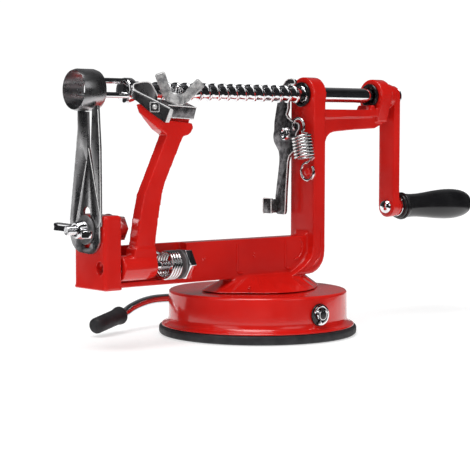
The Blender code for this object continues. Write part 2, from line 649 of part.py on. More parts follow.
def peeling_arm():
    """The red arm: a hub on the pivot bolt, a bent shank and a slanted head."""
    left = [(-93.3, 50.0), (-91.3, 67.2), (-89.1, 79.3), (-86.0, 86.4), (-77.3, 106.7), (-76.3, 109.4)]
    head_left = [(-81.3, 112.1), (-85.5, 116.2), (-90.0, 120.6), (-91.6, 124.6)]
    head_top = [(-88.5, 125.6), (-80.5, 119.0), (-77.8, 117.0), (-60.4, 115.4)]
    head_right = [(-59.4, 113.0), (-60.6, 110.6), (-62.6, 109.2), (-65.7, 108.6)]
    right = [(-66.7, 106.7), (-75.8, 86.4), (-77.6, 81.0), (-79.5, 68.6), (-81.4, 50.0)]
    shank = prism(left + head_left + head_top + head_right + right, "Y",
                  ARM_PIVOT_Y - ARM_HALF_Y, ARM_PIVOT_Y + ARM_HALF_Y)
    lean(shank)
    hub = turned(((0, 0), (6.6, 0), (6.6, 16.0), (5.9, 21.4), (0, 21.4)), (HUB_X, ARM_PIVOT_Y, ARM_PIVOT_Z),
                 (1, 0, 0), 24)
    root = prism(((-95.5, 42.0), (-79.6, 42.0), (-80.6, 52.0), (-93.6, 52.0)), "Y", ARM_PIVOT_Y - 4.6,
                 ARM_PIVOT_Y + 3.8)
    seat = in_clamp_frame(box((-6.8, 10.6), (-2.4, 5.4), (-9.5, -2.1)))
    relief_outline = ((-79.4, -18.0), (-92.0, -11.4), (-100, -7.3), (-100, -40), (-79.4, -40))
    blade_relief = prism(relief_outline, "Z", 100, 140)
    shape = carve(fuse(hub, root, shank, seat), blade_relief)
    bore = rod((HUB_X - 3, ARM_PIVOT_Y, ARM_PIVOT_Z), (HUB_X + 30, ARM_PIVOT_Y, ARM_PIVOT_Z),
               PIVOT_BOLT_R + GAP, 16)
    screw = rod(along_clamp(-14), along_clamp(4), 1.9 + GAP, 12)
    return finish(carve(shape, bore, screw), "peeling_arm", red_enamel(), (0, ARM_PIVOT_Y, ARM_PIVOT_Z))


def along_clamp(distance):
    """A point on the peeling clamp's bolt, measured up from the clamp plate's top face."""
    return tuple(CLAMP_SPOT + CLAMP_AXIS * distance)


def in_clamp_frame(part):
    """Turn a shape modelled about Z at the origin onto the clamp's bolt."""
    turn = Vector((0, 0, 1)).rotation_difference(CLAMP_AXIS).to_matrix().to_4x4()
    part.data.transform(Matrix.Translation(CLAMP_SPOT) @ turn)
    return part


def arm_pivot_bolt():
    y, z = ARM_PIVOT_Y, ARM_PIVOT_Z
    head = hex_head((-61.4, y, z), (-57.0, y, z), 15)
    shank = rod((BLOCK_X[0] + 2.0, y, z), (-60, y, z), PIVOT_BOLT_R, 14)
    return finish(fuse(head, shank), "arm_pivot_bolt", chrome(), (0, y, z))


def arm_pivot_washer():
    profile = ((2.7, 0), (7.7, 0), (7.7, 1.1), (2.7, 1.1))
    shape = turned(profile, (-62.9, ARM_PIVOT_Y, ARM_PIVOT_Z), (1, 0, 0), 20)
    return finish(shape, "arm_pivot_washer", brushed_steel(), (0, ARM_PIVOT_Y, ARM_PIVOT_Z))


def arm_torsion_spring():
    """The coil round the pivot bolt, one leg up behind the arm, one on the frame's floor."""
    wire, radius, turns, steps = 0.7, 7.0, 4, 12
    start_x, end_x = -72.4, -65.0
    path = [Vector((-80.4, -3.9, 56.0)), Vector((-78.6, -3.3, 52.0)), Vector((-74.4, -4.2, 48.6))]
    for i in range(turns * steps + 5):
        angle = math.radians(60 - 360 * i / steps)
        share = i / (turns * steps + 4)
        x = start_x + (end_x - start_x) * share
        y, z = ARM_PIVOT_Y + radius * math.cos(angle), ARM_PIVOT_Z + radius * math.sin(angle)
        path.append(Vector((x, y, z)))
    path.append(path[-1] + Vector((0.3, 2.6, 0.1)))
    path.append(path[-1] + Vector((0.3, 2.2, 0.1)))
    return finish(tube(path, wire, 6), "arm_torsion_spring", chrome(), (0, ARM_PIVOT_Y, ARM_PIVOT_Z))


def blade_clamp():
    """The steel plate folded down at the front that holds the peeling blade on the arm's head."""
    top = box((-7.4, 11.2), (-4.6, 6.4), (-1.8, 0))
    front = box((-7.4, 11.2), (-4.6, -3.0), (-6.2, -1.0))
    shape = in_clamp_frame(fuse(top, front))
    hole = rod(along_clamp(-9), along_clamp(5), 1.9 + GAP, 12)
    return finish(carve(shape, hole), "blade_clamp", chrome(), (0, ARM_PIVOT_Y, ARM_PIVOT_Z))


def clamp_bolt():
    bottom = rod(along_clamp(-7.6), along_clamp(9.6), 1.9, 12)
    return finish(bottom, "clamp_bolt", chrome(), (0, ARM_PIVOT_Y, ARM_PIVOT_Z))


def wing_nut_shape(wing, half_thickness):
    """A wing nut about Z: a tapered hub and two wings of one outline, given as (distance out, height)."""
    hub = turned(((2.8, 0), (4.9, 0), (4.9, 1.4), (4.0, 5.6), (2.8, 5.6)), (0, 0, 0), sides=20)
    wings = []
    for side in (-1, 1):
        outline = [(side * out, height) for out, height in wing]
        wings.append(prism(outline, "Y", -half_thickness, half_thickness))
    return fuse(hub, *wings)


def peeling_wing_nut():
    """Wings folded well up, each a plain paddle."""
    wing = ((3.2, 0.6), (3.0, 5.2), (8.4, 14.4), (9.2, 14.6), (12.7, 12.2), (12.9, 11.4), (6.7, 2.2),
            (5.0, 0.6))
    shape = wing_nut_shape(wing, 1.2)
    shape.data.transform(Matrix.Rotation(math.radians(PEELING_WING_TURN), 4, "Z"))
    shape.data.transform(Matrix.Translation((0, 0, GAP)))
    return finish(in_clamp_frame(shape), "peeling_wing_nut", chrome(), tuple(CLAMP_SPOT))


def peeling_blade():
    """The strip bent into a narrow loop, with a sharpened tip at the apple's side."""
    stations = (
        ((-79.4, -18.6, 115.6), (-77.6, -20.6, 122.8), (-0.55, -0.83, 0)),
        ((-86.0, -15.4, 120.6), (-85.2, -16.6, 127.2), (-0.45, -0.89, 0)),
        ((-92.0, -12.0, 126.4), (-92.8, -12.6, 131.4), (-0.75, -0.66, 0)),
        ((-93.0, -10.4, 127.4), (-93.2, -10.6, 133.8), (-1.0, 0.1, 0)),
        ((-91.4, -9.4, 127.6), (-90.4, -9.4, 135.4), (-0.3, 0.95, 0)),
        ((-83.4, -9.7, 126.4), (-82.6, -9.7, 136.0), (0.1, 0.99, 0)),
        ((-80.2, -10.2, 124.8), (-79.4, -10.3, 132.2), (0.35, 0.93, 0)),
        ((-78.4, -11.0, 124.2), (-78.2, -11.2, 129.0), (0.6, 0.8, 0)),
    )
    return finish(ribbon(stations, 0.7), "peeling_blade", brushed_steel(), (0, ARM_PIVOT_Y, ARM_PIVOT_Z))


# ---------------------------------------------------------------- slicing blade

def slicing_blade():
    """The stamped plate: a slotted foot, a forked shank and the seat of the coring ring."""
    foot = [(-10.6, 55.6)] + arc((-2.0, 58.2), 8.6, 205, 270, 3) + arc((4.6, 60.4), 10.4, 275, 360, 5)
    left = [(14.9, 66.0), (9.2, 101.7), (7.6, 112.0), (7.6, 124.0), (-1.0, 124.0), (-1.6, 103.0)]
    plate_left = prism(foot + left + [(-1.8, 102.6), (-10.9, 71.0)], "X", *BLADE_X)
    right = [(-11.8, 64.0), (-11.4, 103.0), (-9.8, 124.0), (-5.0, 124.0), (-3.6, 103.0), (-9.9, 76.0)]
    right += [(-9.6, 64.0)]
    plate_right = prism(right, "X", *BLADE_X)
    slit = prism(((10.4, 64.0), (0.6, 96.6), (-0.3, 96.4), (9.4, 63.8)), "X", -120, -110)
    slot = prism(arc((0, 55.4), 3.0, 180, 360, 6) + arc((0, 70.4), 3.0, 0, 180, 6), "X", -120, -110)
    ring_seat = rod(along_x(-125), along_x(-105), CORING_R + GAP, 28)
    shape = carve(fuse(plate_left, plate_right), slit, slot, ring_seat)
    return finish(shape, "slicing_blade", brushed_steel(), (0, 0, SLICING_BOLT_Z))


def coring_ring():
    """The sharpened tube that cuts the core out, on the shaft's axis."""
    inner = CORING_R - CORING_WALL
    profile = ((inner, 0), (CORING_R, 0), (CORING_R, 11.0), (inner + 0.15, 13.0), (inner, 13.0))
    ring = turned(profile, along_x(-122.0), (1, 0, 0), 32)
    return finish(ring, "coring_ring", brushed_steel(), (0, 0, SHAFT_Z))


def slicing_bolt():
    z = SLICING_BOLT_Z
    flange = rod((-101.9, 0, z), (-100.4, 0, z), 7.6, 20)
    head = hex_head((-101.0, 0, z), (-93.4, 0, z), 12)
    shank = rod((-127.0, 0, z), (-100, 0, z), 2.4, 14)
    return finish(fuse(head, flange, shank), "slicing_bolt", chrome(), (0, 0, z))


def slicing_washer():
    start = BLADE_X[0] - GAP - 1.3
    shape = turned(((2.8, 0), (7.4, 0), (7.4, 1.3), (2.8, 1.3)), (start, 0, SLICING_BOLT_Z), (1, 0, 0), 24)
    return finish(shape, "slicing_washer", brushed_steel(), (0, 0, SLICING_BOLT_Z))


def slicing_wing_nut():
    """Thicker wings that lean forward only a little."""
    wing = ((3.2, 0.8), (3.2, 4.8), (11.4, 9.6), (13.4, 9.4), (14.9, 6.6), (14.4, 4.8), (6.4, 1.0))
    shape = wing_nut_shape(wing, 1.9)
    shape.data.transform(Matrix.Rotation(math.radians(SLICING_WING_TURN), 4, "Z"))
    shape.data.transform(Matrix.Rotation(math.radians(-90), 4, "Y"))
    seat = BLADE_X[0] - 2 * GAP - 1.3
    shape.data.transform(Matrix.Translation((seat, 0, SLICING_BOLT_Z)))
    return finish(shape, "slicing_wing_nut", chrome(), (seat, 0, SLICING_BOLT_Z))


# ---------------------------------------------------------------- the assembly

def clear_scene():
    for old in list(bpy.data.objects):
        bpy.data.objects.remove(old)


def build():
    clear_scene()
    suction_pad()
    suction_housing()
    pad_plunger()
    suction_lever()
    lever_sleeve()
    retaining_clip()
    frame_casting()
    for index in range(len(BASE_SCREW_X)):
        base_screw(index)
    bushing("front_bushing", COLUMN_X[0], 10.0)
    bushing("rear_bushing", REAR_LUG_X[0], 9.4)
    drive_shaft()
    apple_fork()
    crank_arm()
    crank_screw()
    handle_bolt()
    handle_washer()
    handle_grip()
    release_lever()
    lever_pivot_screw()
    lever_spacer()
    lever_spring()
    peeling_arm()
    arm_pivot_bolt()
    arm_pivot_washer()
    arm_torsion_spring()
    blade_clamp()
    clamp_bolt()
    peeling_wing_nut()
    peeling_blade()
    slicing_blade()
    coring_ring()
    slicing_bolt()
    slicing_washer()
    slicing_wing_nut()


build()
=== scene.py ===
"""Looks of the hand-cranked apple peeler and corer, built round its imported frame.

Shapes are made in millimetres in the frame's own axes and turned into metres when they are finished.
"""
import json
import math

import bmesh
import bpy
from mathutils import Matrix, Vector


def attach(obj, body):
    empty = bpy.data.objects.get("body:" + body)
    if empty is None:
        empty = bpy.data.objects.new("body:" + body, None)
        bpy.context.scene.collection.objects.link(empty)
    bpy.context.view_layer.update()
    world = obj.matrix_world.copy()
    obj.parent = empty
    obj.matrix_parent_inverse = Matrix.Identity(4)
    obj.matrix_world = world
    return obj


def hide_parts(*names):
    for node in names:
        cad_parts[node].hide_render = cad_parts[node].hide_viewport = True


# Sizes and places in millimetres, as in the CAD model
MM = 0.001

# Drive line
SHAFT_Z = 131.8
LEAD = 6.35
THREAD_START = -86.0
THREAD_TURNS = 19
SMOOTH_R = 4.25
FORK_FACE_X = -92.0
PRONG_CIRCLE_R = 4.816
LUG_FACES = {"front_bushing": (33.3, 10.0), "rear_bushing": (87.6, 9.4)}
CRANK_FACE_X = 108.1
HANDLE_Z = 66.5
GRIP_START_X = 111.2

# Cast frame
BLOCK_X = (-113.0, -102.4)
BLOCK_HALF_Y = 13.6
BAR_BOTTOM = 31.4
BAR_FACE_Y = -4.5
COLUMN_FACE_Y = -9.7

# Suction base
SPINDLE_Z = 14.5
CAM_Z = 13.25
BASE_SCREW_X = (-14.5, 21.5)
SLEEVE_START = Vector((-58.0, 48.9, 9.5))
SLEEVE_END = Vector((-81.5, 40.7, 5.8))
CLIP_Y = -51.0

# Release lever
LEVER_X = (27.0, 29.0)
LEVER_PIVOT = (6.3, 109.8)
LEVER_EYE = (-0.6, 112.4)

# Peeling arm
ARM_PIVOT = (-8.6, 42.0)
CLAMP_AXIS = Vector((0.05, -0.30, 0.95)).normalized()
CLAMP_SPOT = Vector((-69.6, -14.2, 125.4))
PEELING_WING_TURN = -30

# Slicing blade
BLADE_X = (-114.5, -113.3)
SLICING_BOLT_Z = 61.8
SLICING_WING_TURN = 84

# Fineness of the casting's surface, in millimetres
FRAME_VOXEL = 0.5
ARM_VOXEL = 0.45

# Camera, in degrees and metres: it stands a little left of its line through the origin, and above it
LENS = 115.92
CAMERA_TURN, CAMERA_PITCH, CAMERA_ROLL = 40.5, 4.06, 0.11
CAMERA_DISTANCE = 0.8392
CAMERA_LEFT = 0.012504
CAMERA_RISE = 0.053893

# Light
FILL = 0.36
WORLD_BEHIND = 1.05
SUN = 2.1
TARGET = (0, 0, 0.07)

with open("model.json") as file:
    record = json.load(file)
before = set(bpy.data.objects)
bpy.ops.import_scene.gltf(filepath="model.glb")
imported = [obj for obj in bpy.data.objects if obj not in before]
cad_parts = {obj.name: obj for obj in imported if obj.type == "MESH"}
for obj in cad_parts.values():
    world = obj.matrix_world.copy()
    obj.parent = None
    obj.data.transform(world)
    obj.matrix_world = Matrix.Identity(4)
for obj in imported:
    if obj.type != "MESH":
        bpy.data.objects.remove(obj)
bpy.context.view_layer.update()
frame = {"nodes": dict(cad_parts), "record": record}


# ---------------------------------------------------------------- materials

class Look:
    """A node material with helpers for the few patterns that are used over and over."""

    def __init__(self, name):
        self.made = bpy.data.materials.new(name)
        self.made.use_nodes = True
        self.nodes = self.made.node_tree.nodes
        self.links = self.made.node_tree.links
        self.shader = self.nodes["Principled BSDF"]
        self.where = self.nodes.new("ShaderNodeTexCoord").outputs["Object"]

    def fixed(self, **values):
        for name, value in values.items():
            self.shader.inputs[name.replace("_", " ").title().replace("Ior", "IOR")].default_value = value
        return self

    def noise(self, scale, detail=3.0, stretch=(1, 1, 1), rough=0.55):
        place = self.nodes.new("ShaderNodeMapping")
        place.inputs["Scale"].default_value = stretch
        self.links.new(self.where, place.inputs["Vector"])
        pattern = self.nodes.new("ShaderNodeTexNoise")
        pattern.inputs["Scale"].default_value = scale
        pattern.inputs["Detail"].default_value = detail
        pattern.inputs["Roughness"].default_value = rough
        self.links.new(place.outputs["Vector"], pattern.inputs["Vector"])
        return pattern.outputs["Fac"]

    def ranged(self, value, low, high, start=0.3, end=0.7):
        step = self.nodes.new("ShaderNodeMapRange")
        step.inputs["From Min"].default_value = start
        step.inputs["From Max"].default_value = end
        step.inputs["To Min"].default_value = low
        step.inputs["To Max"].default_value = high
        self.links.new(value, step.inputs["Value"])
        return step.outputs["Result"]

    def colour(self, value, dark, light, start=0.35, end=0.65):
        ramp = self.nodes.new("ShaderNodeValToRGB")
        ramp.color_ramp.elements[0].position = start
        ramp.color_ramp.elements[0].color = (*dark, 1)
        ramp.color_ramp.elements[1].position = end
        ramp.color_ramp.elements[1].color = (*light, 1)
        self.links.new(value, ramp.inputs["Fac"])
        self.links.new(ramp.outputs["Color"], self.shader.inputs["Base Color"])
        return self

    def roughness(self, value, low, high):
        self.links.new(self.ranged(value, low, high), self.shader.inputs["Roughness"])
        return self

    def bumps(self, *layers):
        """Layers of (height value, strength, depth in metres), the coarse one first."""
        normal = None
        for value, strength, depth in layers:
            bump = self.nodes.new("ShaderNodeBump")
            bump.inputs["Strength"].default_value = strength
            bump.inputs["Distance"].default_value = depth
            self.links.new(value, bump.inputs["Height"])
            if normal:
                self.links.new(normal, bump.inputs["Normal"])
            normal = bump.outputs["Normal"]
        self.links.new(normal, self.shader.inputs["Normal"])
        return self


def red_enamel():
    look = Look("red_enamel_gloss")
    broad = look.noise(26, 3)
    fine = look.noise(700, 2)
    look.colour(broad, (0.56, 0.0085, 0.0055), (0.66, 0.0125, 0.008))
    look.roughness(look.noise(90, 4), 0.13, 0.22)
    look.bumps((look.noise(60, 2), 0.22, 0.0006), (fine, 0.08, 0.00008))
    return look.fixed(coat_weight=0.35, coat_roughness=0.04).made


def chrome():
    look = Look("bright_chrome")
    look.colour(look.noise(120, 3), (0.80, 0.80, 0.82), (0.92, 0.92, 0.93))
    look.roughness(look.noise(300, 4), 0.035, 0.085)
    look.bumps((look.noise(240, 2), 0.10, 0.0002), (look.noise(1600, 2), 0.05, 0.00004))
    return look.fixed(metallic=1.0).made


def spring_wire():
    look = Look("plated_spring_wire")
    look.colour(look.noise(220, 3), (0.62, 0.62, 0.63), (0.86, 0.85, 0.85))
    look.roughness(look.noise(500, 3), 0.07, 0.15)
    look.bumps((look.noise(900, 2), 0.06, 0.00005))
    return look.fixed(metallic=1.0).made


def brushed_steel():
    look = Look("satin_steel")
    look.colour(look.noise(300, 5), (0.14, 0.138, 0.143), (0.25, 0.245, 0.25))
    look.roughness(look.noise(160, 5), 0.34, 0.48)
    grain = look.noise(420, 3, (1, 1, 0.06))
    look.bumps((look.noise(240, 3), 0.12, 0.0002), (grain, 0.12, 0.00006))
    return look.fixed(metallic=0.6).made


def blade_steel():
    look = Look("ground_strip_steel")
    look.colour(look.noise(60, 4), (0.36, 0.355, 0.365), (0.52, 0.515, 0.52))
    grain = look.noise(900, 3, (1, 0.05, 1))
    look.roughness(look.noise(200, 5), 0.22, 0.36)
    look.bumps((grain, 0.14, 0.00005), (look.noise(140, 3), 0.05, 0.0003))
    return look.fixed(metallic=1.0).made


def bright_zinc():
    """The pale, slightly pitted plating of the wing nuts; cut edges are painted bright with a highlight
    colour of their own.
    """
    look = Look("bright_zinc")
    look.colour(look.noise(420, 4), (0.30, 0.30, 0.31), (0.78, 0.77, 0.76))
    look.roughness(look.noise(300, 4), 0.22, 0.4)
    look.bumps((look.noise(520, 3), 0.3, 0.0002))
    return look.fixed(metallic=0.45).made


def dark_steel():
    """Oxide-dark, mottled plate, as rolled."""
    look = Look("dark_mottled_steel")
    look.colour(look.noise(330, 5), (0.07, 0.068, 0.072), (0.30, 0.29, 0.30))
    look.roughness(look.noise(200, 5), 0.22, 0.36)
    look.bumps((look.noise(260, 4), 0.25, 0.0003), (look.noise(1100, 2), 0.1, 0.00005))
    return look.fixed(metallic=0.9).made


def painted_edge_highlight():
    """Painted highlight for thin lines along cut edges: near white, bright from every side."""
    look = Look("bright_cut_edge")
    look.colour(look.noise(300, 3), (0.72, 0.72, 0.72), (0.95, 0.95, 0.95))
    look.roughness(look.noise(500, 3), 0.2, 0.35)
    return look.fixed(metallic=0.15).made


def black_rubber():
    look = Look("matt_black_rubber")
    look.colour(look.noise(150, 4), (0.012, 0.012, 0.014), (0.024, 0.024, 0.027))
    look.roughness(look.noise(260, 4), 0.48, 0.68)
    look.bumps((look.noise(60, 3), 0.1, 0.0004), (look.noise(1900, 2), 0.16, 0.00008))
    return look.fixed(specular_ior_level=0.35).made


def black_plastic():
    look = Look("gloss_black_plastic")
    look.colour(look.noise(90, 3), (0.007, 0.007, 0.008), (0.014, 0.014, 0.015))
    look.roughness(look.noise(200, 4), 0.16, 0.26)
    look.bumps((look.noise(70, 2), 0.08, 0.0003), (look.noise(1500, 2), 0.05, 0.00005))
    return look.made


def pale_floor():
    look = Look("pale_table")
    look.colour(look.noise(3, 2), (0.48, 0.48, 0.48), (0.50, 0.50, 0.50))
    look.roughness(look.noise(8, 3), 0.7, 0.8)
    return look.fixed(emission_color=(1, 1, 1, 1), emission_strength=0.6, specular_ior_level=0.1).made


LOOKS = {"red_enamel": red_enamel(), "chrome": chrome(), "spring_steel": spring_wire(),
         "brushed_steel": brushed_steel(), "blade_steel": blade_steel(), "black_rubber": black_rubber(),
         "black_plastic": black_plastic(), "bright_zinc": bright_zinc(),
         "dark_steel": dark_steel(), "painted_edge_highlight": painted_edge_highlight()}


# ---------------------------------------------------------------- shape helpers, in millimetres

def mesh_object(name, bm):
    bmesh.ops.recalc_face_normals(bm, faces=bm.faces)
    mesh = bpy.data.meshes.new(name)
    bm.to_mesh(mesh)
    bm.free()
    made = bpy.data.objects.new(name, mesh)
    bpy.context.scene.collection.objects.link(made)
    return made


def prism(outline, axis, low, high):
    """An outline of two coordinates pushed along one axis: X takes (y, z), Y takes (x, z), Z takes (x, y)."""
    place = {"X": lambda p, t: (t, p[0], p[1]), "Y": lambda p, t: (p[0], t, p[1]),
             "Z": lambda p, t: (p[0], p[1], t)}[axis]
    bm = bmesh.new()
    start = [bm.verts.new(place(p, low)) for p in outline]
    end = [bm.verts.new(place(p, high)) for p in outline]
    bm.faces.new(start)
    bm.faces.new(end)
    for i in range(len(outline)):
        j = (i + 1) % len(outline)
        bm.faces.new((start[i], start[j], end[j], end[i]))
    return mesh_object("blank", bm)


def box(x, y, z):
    return prism(((x[0], y[0]), (x[1], y[0]), (x[1], y[1]), (x[0], y[1])), "Z", z[0], z[1])


def turned(profile, origin, axis=(0, 0, 1), sides=64):
    """A closed profile of (radius, height) points turned about an axis through origin."""
    turn = Vector((0, 0, 1)).rotation_difference(Vector(axis)).to_matrix()
    bm = bmesh.new()
    rings = []
    for radius, height in profile:
        count = 1 if radius == 0 else sides
        ring = []
        for i in range(count):
            angle = 2 * math.pi * (i + 0.5) / sides
            spot = Vector((radius * math.cos(angle), radius * math.sin(angle), height))
            ring.append(bm.verts.new(Vector(origin) + turn @ spot))
        rings.append(ring)
    for k, ring in enumerate(rings):
        after = rings[(k + 1) % len(rings)]
        for i in range(sides):
            j = (i + 1) % sides
            corners = [ring[i % len(ring)], ring[j % len(ring)]]
            corners += [after[j % len(after)], after[i % len(after)]]
            corners = list(dict.fromkeys(corners))
            if len(corners) > 2:
                bm.faces.new(corners)
    return mesh_object("blank", bm)


def rod(start, end, radius, sides=32):
    along = Vector(end) - Vector(start)
    profile = ((0, 0), (radius, 0), (radius, along.length), (0, along.length))
    return turned(profile, start, tuple(along.normalized()), sides)


def hex_head(start, end, across_flats):
    return rod(start, end, across_flats / math.sqrt(3), 6)


def smooth_path(points, steps):
    """A Catmull-Rom curve through the points."""
    points = [Vector(p) for p in points]
    ends = [points[0] * 2 - points[1]] + points + [points[-1] * 2 - points[-2]]
    path = []
    for a, b, c, d in zip(ends, ends[1:], ends[2:], ends[3:]):
        for i in range(steps):
            t = i / steps
            path.append(0.5 * ((2 * b) + (c - a) * t + (2 * a - 5 * b + 4 * c - d) * t * t
                               + (3 * b - a - 3 * c + d) * t ** 3))
    return path + [points[-1]]


def tube(points, radius, sides=14):
    points = [Vector(p) for p in points]
    side = (points[1] - points[0]).orthogonal().normalized()
    bm = bmesh.new()
    rings = []
    for k, point in enumerate(points):
        along = (points[min(k + 1, len(points) - 1)] - points[max(k - 1, 0)]).normalized()
        side = (side - along * side.dot(along)).normalized()
        across = along.cross(side)
        ring = []
        for i in range(sides):
            angle = 2 * math.pi * i / sides
            out = side * math.cos(angle) + across * math.sin(angle)
            ring.append(bm.verts.new(point + radius * out))
        rings.append(ring)
    for a, b in zip(rings, rings[1:]):
        for i in range(sides):
            j = (i + 1) % sides
            bm.faces.new((a[i], a[j], b[j], b[i]))
    bm.faces.new(rings[0])
    bm.faces.new(rings[-1])
    return mesh_object("blank", bm)


def apply_modifiers(part):
    shape = part.evaluated_get(bpy.context.evaluated_depsgraph_get())
    mesh = bpy.data.meshes.new_from_object(shape)
    part.modifiers.clear()
    old = part.data
    part.data = mesh
    bpy.data.meshes.remove(old)
    return part


def combine(base, others, operation):
    for other in others:
        step = base.modifiers.new("combine", "BOOLEAN")
        step.operation = operation
        step.solver = "EXACT"
        step.object = other
        apply_modifiers(base)
        bpy.data.objects.remove(other)
    return base


def fuse(base, *others):
    return combine(base, others, "UNION")


def carve(base, *others):
    return combine(base, others, "DIFFERENCE")


def rounded(part, width, segments=2, angle=40):
    edge = part.modifiers.new("edges", "BEVEL")
    edge.width = width
    edge.segments = segments
    edge.limit_method = "ANGLE"
    edge.angle_limit = math.radians(angle)
    edge.use_clamp_overlap = True
    return apply_modifiers(part)


def cast(part, voxel, passes):
    """Soften a shape the way a casting's edges are soft."""
    step = part.modifiers.new("remesh", "REMESH")
    step.mode = "VOXEL"
    step.voxel_size = voxel
    apply_modifiers(part)
    step = part.modifiers.new("soften", "SMOOTH")
    step.factor = 0.5
    step.iterations = passes
    return apply_modifiers(part)


def arc(centre, radius, start, end, steps):
    points = []
    for i in range(steps + 1):
        angle = math.radians(start + (end - start) * i / steps)
        points.append((centre[0] + radius * math.cos(angle), centre[1] + radius * math.sin(angle)))
    return points


def from_cad(node):
    """A free copy of a CAD node's shape, in millimetres."""
    mesh = frame["nodes"][node].data.copy()
    mesh.transform(Matrix.Scale(1 / MM, 4))
    made = bpy.data.objects.new("blank", mesh)
    bpy.context.scene.collection.objects.link(made)
    bm = bmesh.new()
    bm.from_mesh(mesh)
    bmesh.ops.remove_doubles(bm, verts=bm.verts, dist=1e-4)
    bm.to_mesh(mesh)
    bm.free()
    return made


BODIES = frame["record"]["behaviour"]["bodies"]
BODY_OF = {node: body for body, nodes in BODIES.items() for node in nodes}
SLOT_OF = {entry["node"]: entry["material_slot"] for entry in frame["record"]["subparts"]}


def finish(part, node, suffix="", sharp=35, look=None, stands_for=True):
    """Scale a piece into metres, give it its material and seat it on its body.

    It stands for its CAD node, unless stands_for is False, as on a small extra piece.
    """
    part.name = "show_" + node + suffix
    part.data.name = part.name
    part.data.transform(Matrix.Scale(MM, 4))
    part.data.materials.clear()
    part.data.materials.append(LOOKS[look or SLOT_OF[node]])
    part.data.shade_smooth()
    part.data.set_sharp_from_angle(angle=math.radians(sharp))
    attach(part, BODY_OF[node])
    if stands_for:
        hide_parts(node)
    return part


def painted_highlight_line(points, radius, node, suffix):
    """A thin line painted bright where a stamped plate's cut edge catches the light: a painted highlight."""
    finish(tube(points, radius, 8), node, suffix, sharp=60, look="painted_edge_highlight", stands_for=False)


def on_shaft(x):
    return (x, 0.0, SHAFT_Z)


# ---------------------------------------------------------------- suction base

def suction_pad():
    profile = [(0, 0), (51.8, 0), (53.6, 0.3), (54.4, 1.0), (54.6, 1.9), (54.6, 3.3), (54.5, 4.1),
               (54.1, 4.7), (53.2, 5.0), (50.2, 5.0), (49.2, 4.4), (48.0, 3.2), (0, 3.2)]
    finish(turned(profile, (0, 0, 0), sides=192), "suction_pad")


def suction_housing():
    profile = [(53.1, 5.3), (53.1, 5.6), (52.95, 5.9), (52.6, 6.15), (51.9, 6.4), (51.0, 6.75), (50.3, 7.25),
               (49.75, 7.9), (49.4, 8.7), (49.22, 9.6), (49.2, 10.2), (49.2, 22.9), (49.17, 23.2),
               (49.0, 23.6),
               (48.75, 23.9), (48.4, 24.15), (48.05, 24.27), (47.7, 24.3), (47.0, 24.3), (0, 24.3), (0, 21.9),
               (46.8, 21.9), (46.8, 5.3)]
    shell = turned(profile, (0, 0, 0), sides=192)
    spindle = rod((0, -60, SPINDLE_Z), (0, 60, SPINDLE_Z), 3.1)
    holes = [rod((x, 0, 15), (x, 0, 30), 2.5, 24) for x in BASE_SCREW_X]
    finish(carve(shell, spindle, *holes), "suction_housing")


def suction_lever():
    """The lever's rod: the spindle across the base, its eccentric, and the bent arm up to the sleeve."""
    into = (SLEEVE_END - SLEEVE_START).normalized()
    across = [(0, y, SPINDLE_Z) for y in (-52.5, -20, 20)]
    bend = [(0, 46, SPINDLE_Z), (-0.1, 50.5, SPINDLE_Z), (-1.6, 54.8, SPINDLE_Z), (-5.2, 57.0, 14.6)]
    reach = [(-12, 57.5, 14.9), (-22, 56.8, 15.4), (-31, 55.6, 15.4), (-40, 53.8, 14.4), (-48.5, 51.8, 12.4)]
    curve = smooth_path(bend + reach + [SLEEVE_START - into * 1.5, SLEEVE_END - into * 3], 8)
    spindle = tube(across + curve, 2.62, 28)
    cam = rod((0, -5, CAM_Z), (0, 5, CAM_Z), 4.1)
    ring = ((1.95, -0.6), (5, -0.6), (5, 0.6), (1.95, 0.6))
    groove = turned(ring, (0, CLIP_Y, SPINDLE_Z), (0, 1, 0), 32)
    finish(carve(fuse(spindle, cam), groove), "suction_lever")


def lever_sleeve():
    along = SLEEVE_END - SLEEVE_START
    length = along.length
    mouth = [(2.95, 0), (4.5, 0), (4.85, 0.25), (5.05, 0.8), (5.05, 1.8), (4.9, 2.6), (4.65, 3.5)]
    side = [(4.45, 5.0), (4.38, 8.0), (4.38, length - 2.2)]
    tip = [(4.2, length - 1.2), (3.6, length - 0.4), (2.8, length)]
    bore = [(0, length), (0, length - 2.2), (2.95, length - 2.2)]
    sleeve = turned(mouth + side + tip + bore, SLEEVE_START, tuple(along.normalized()), 48)
    finish(sleeve, "lever_sleeve", sharp=50)


def retaining_clip():
    """An E-shaped clip: a flat ring with three inner teeth and a mouth below."""
    steps, start, end = 40, -115, 165
    outer = arc((0, SPINDLE_Z), 5.45, start, end, steps)
    inner = []
    for i in range(steps + 1):
        angle = end - (end - start) * i / steps
        near_tooth = min(abs(angle - tooth) for tooth in (146, 25, -96)) < 11
        radius = 2.3 if near_tooth else 4.15
        turn = math.radians(angle)
        inner.append((radius * math.cos(turn), SPINDLE_Z + radius * math.sin(turn)))
    ring = prism(outer + inner, "Y", CLIP_Y - 0.3, CLIP_Y + 0.3)
    finish(rounded(ring, 0.12, 2), "retaining_clip")
    # The black disc behind the clip is painted shade: it darkens the clip's centre, where the hole in the
    # housing lies in shade.
    flat = ((3.2, 0), (5.8, 0), (5.9, 0.2), (5.9, 0.7), (3.2, 0.7))
    washer = turned(flat, (0, CLIP_Y + 0.8, SPINDLE_Z), (0, 1, 0), 40)
    finish(washer, "retaining_clip", "_washer", look="black_plastic", stands_for=False)
    dimple = ((0, 0.0), (2.3, 0.0), (2.3, -0.2), (1.2, -0.5), (0, -0.2))
    tip = turned(dimple, (0, CLIP_Y - 1.35, SPINDLE_Z), (0, 1, 0), 32)
    finish(tip, "suction_lever", "_tip", look="black_plastic", stands_for=False)


# ---------------------------------------------------------------- castings

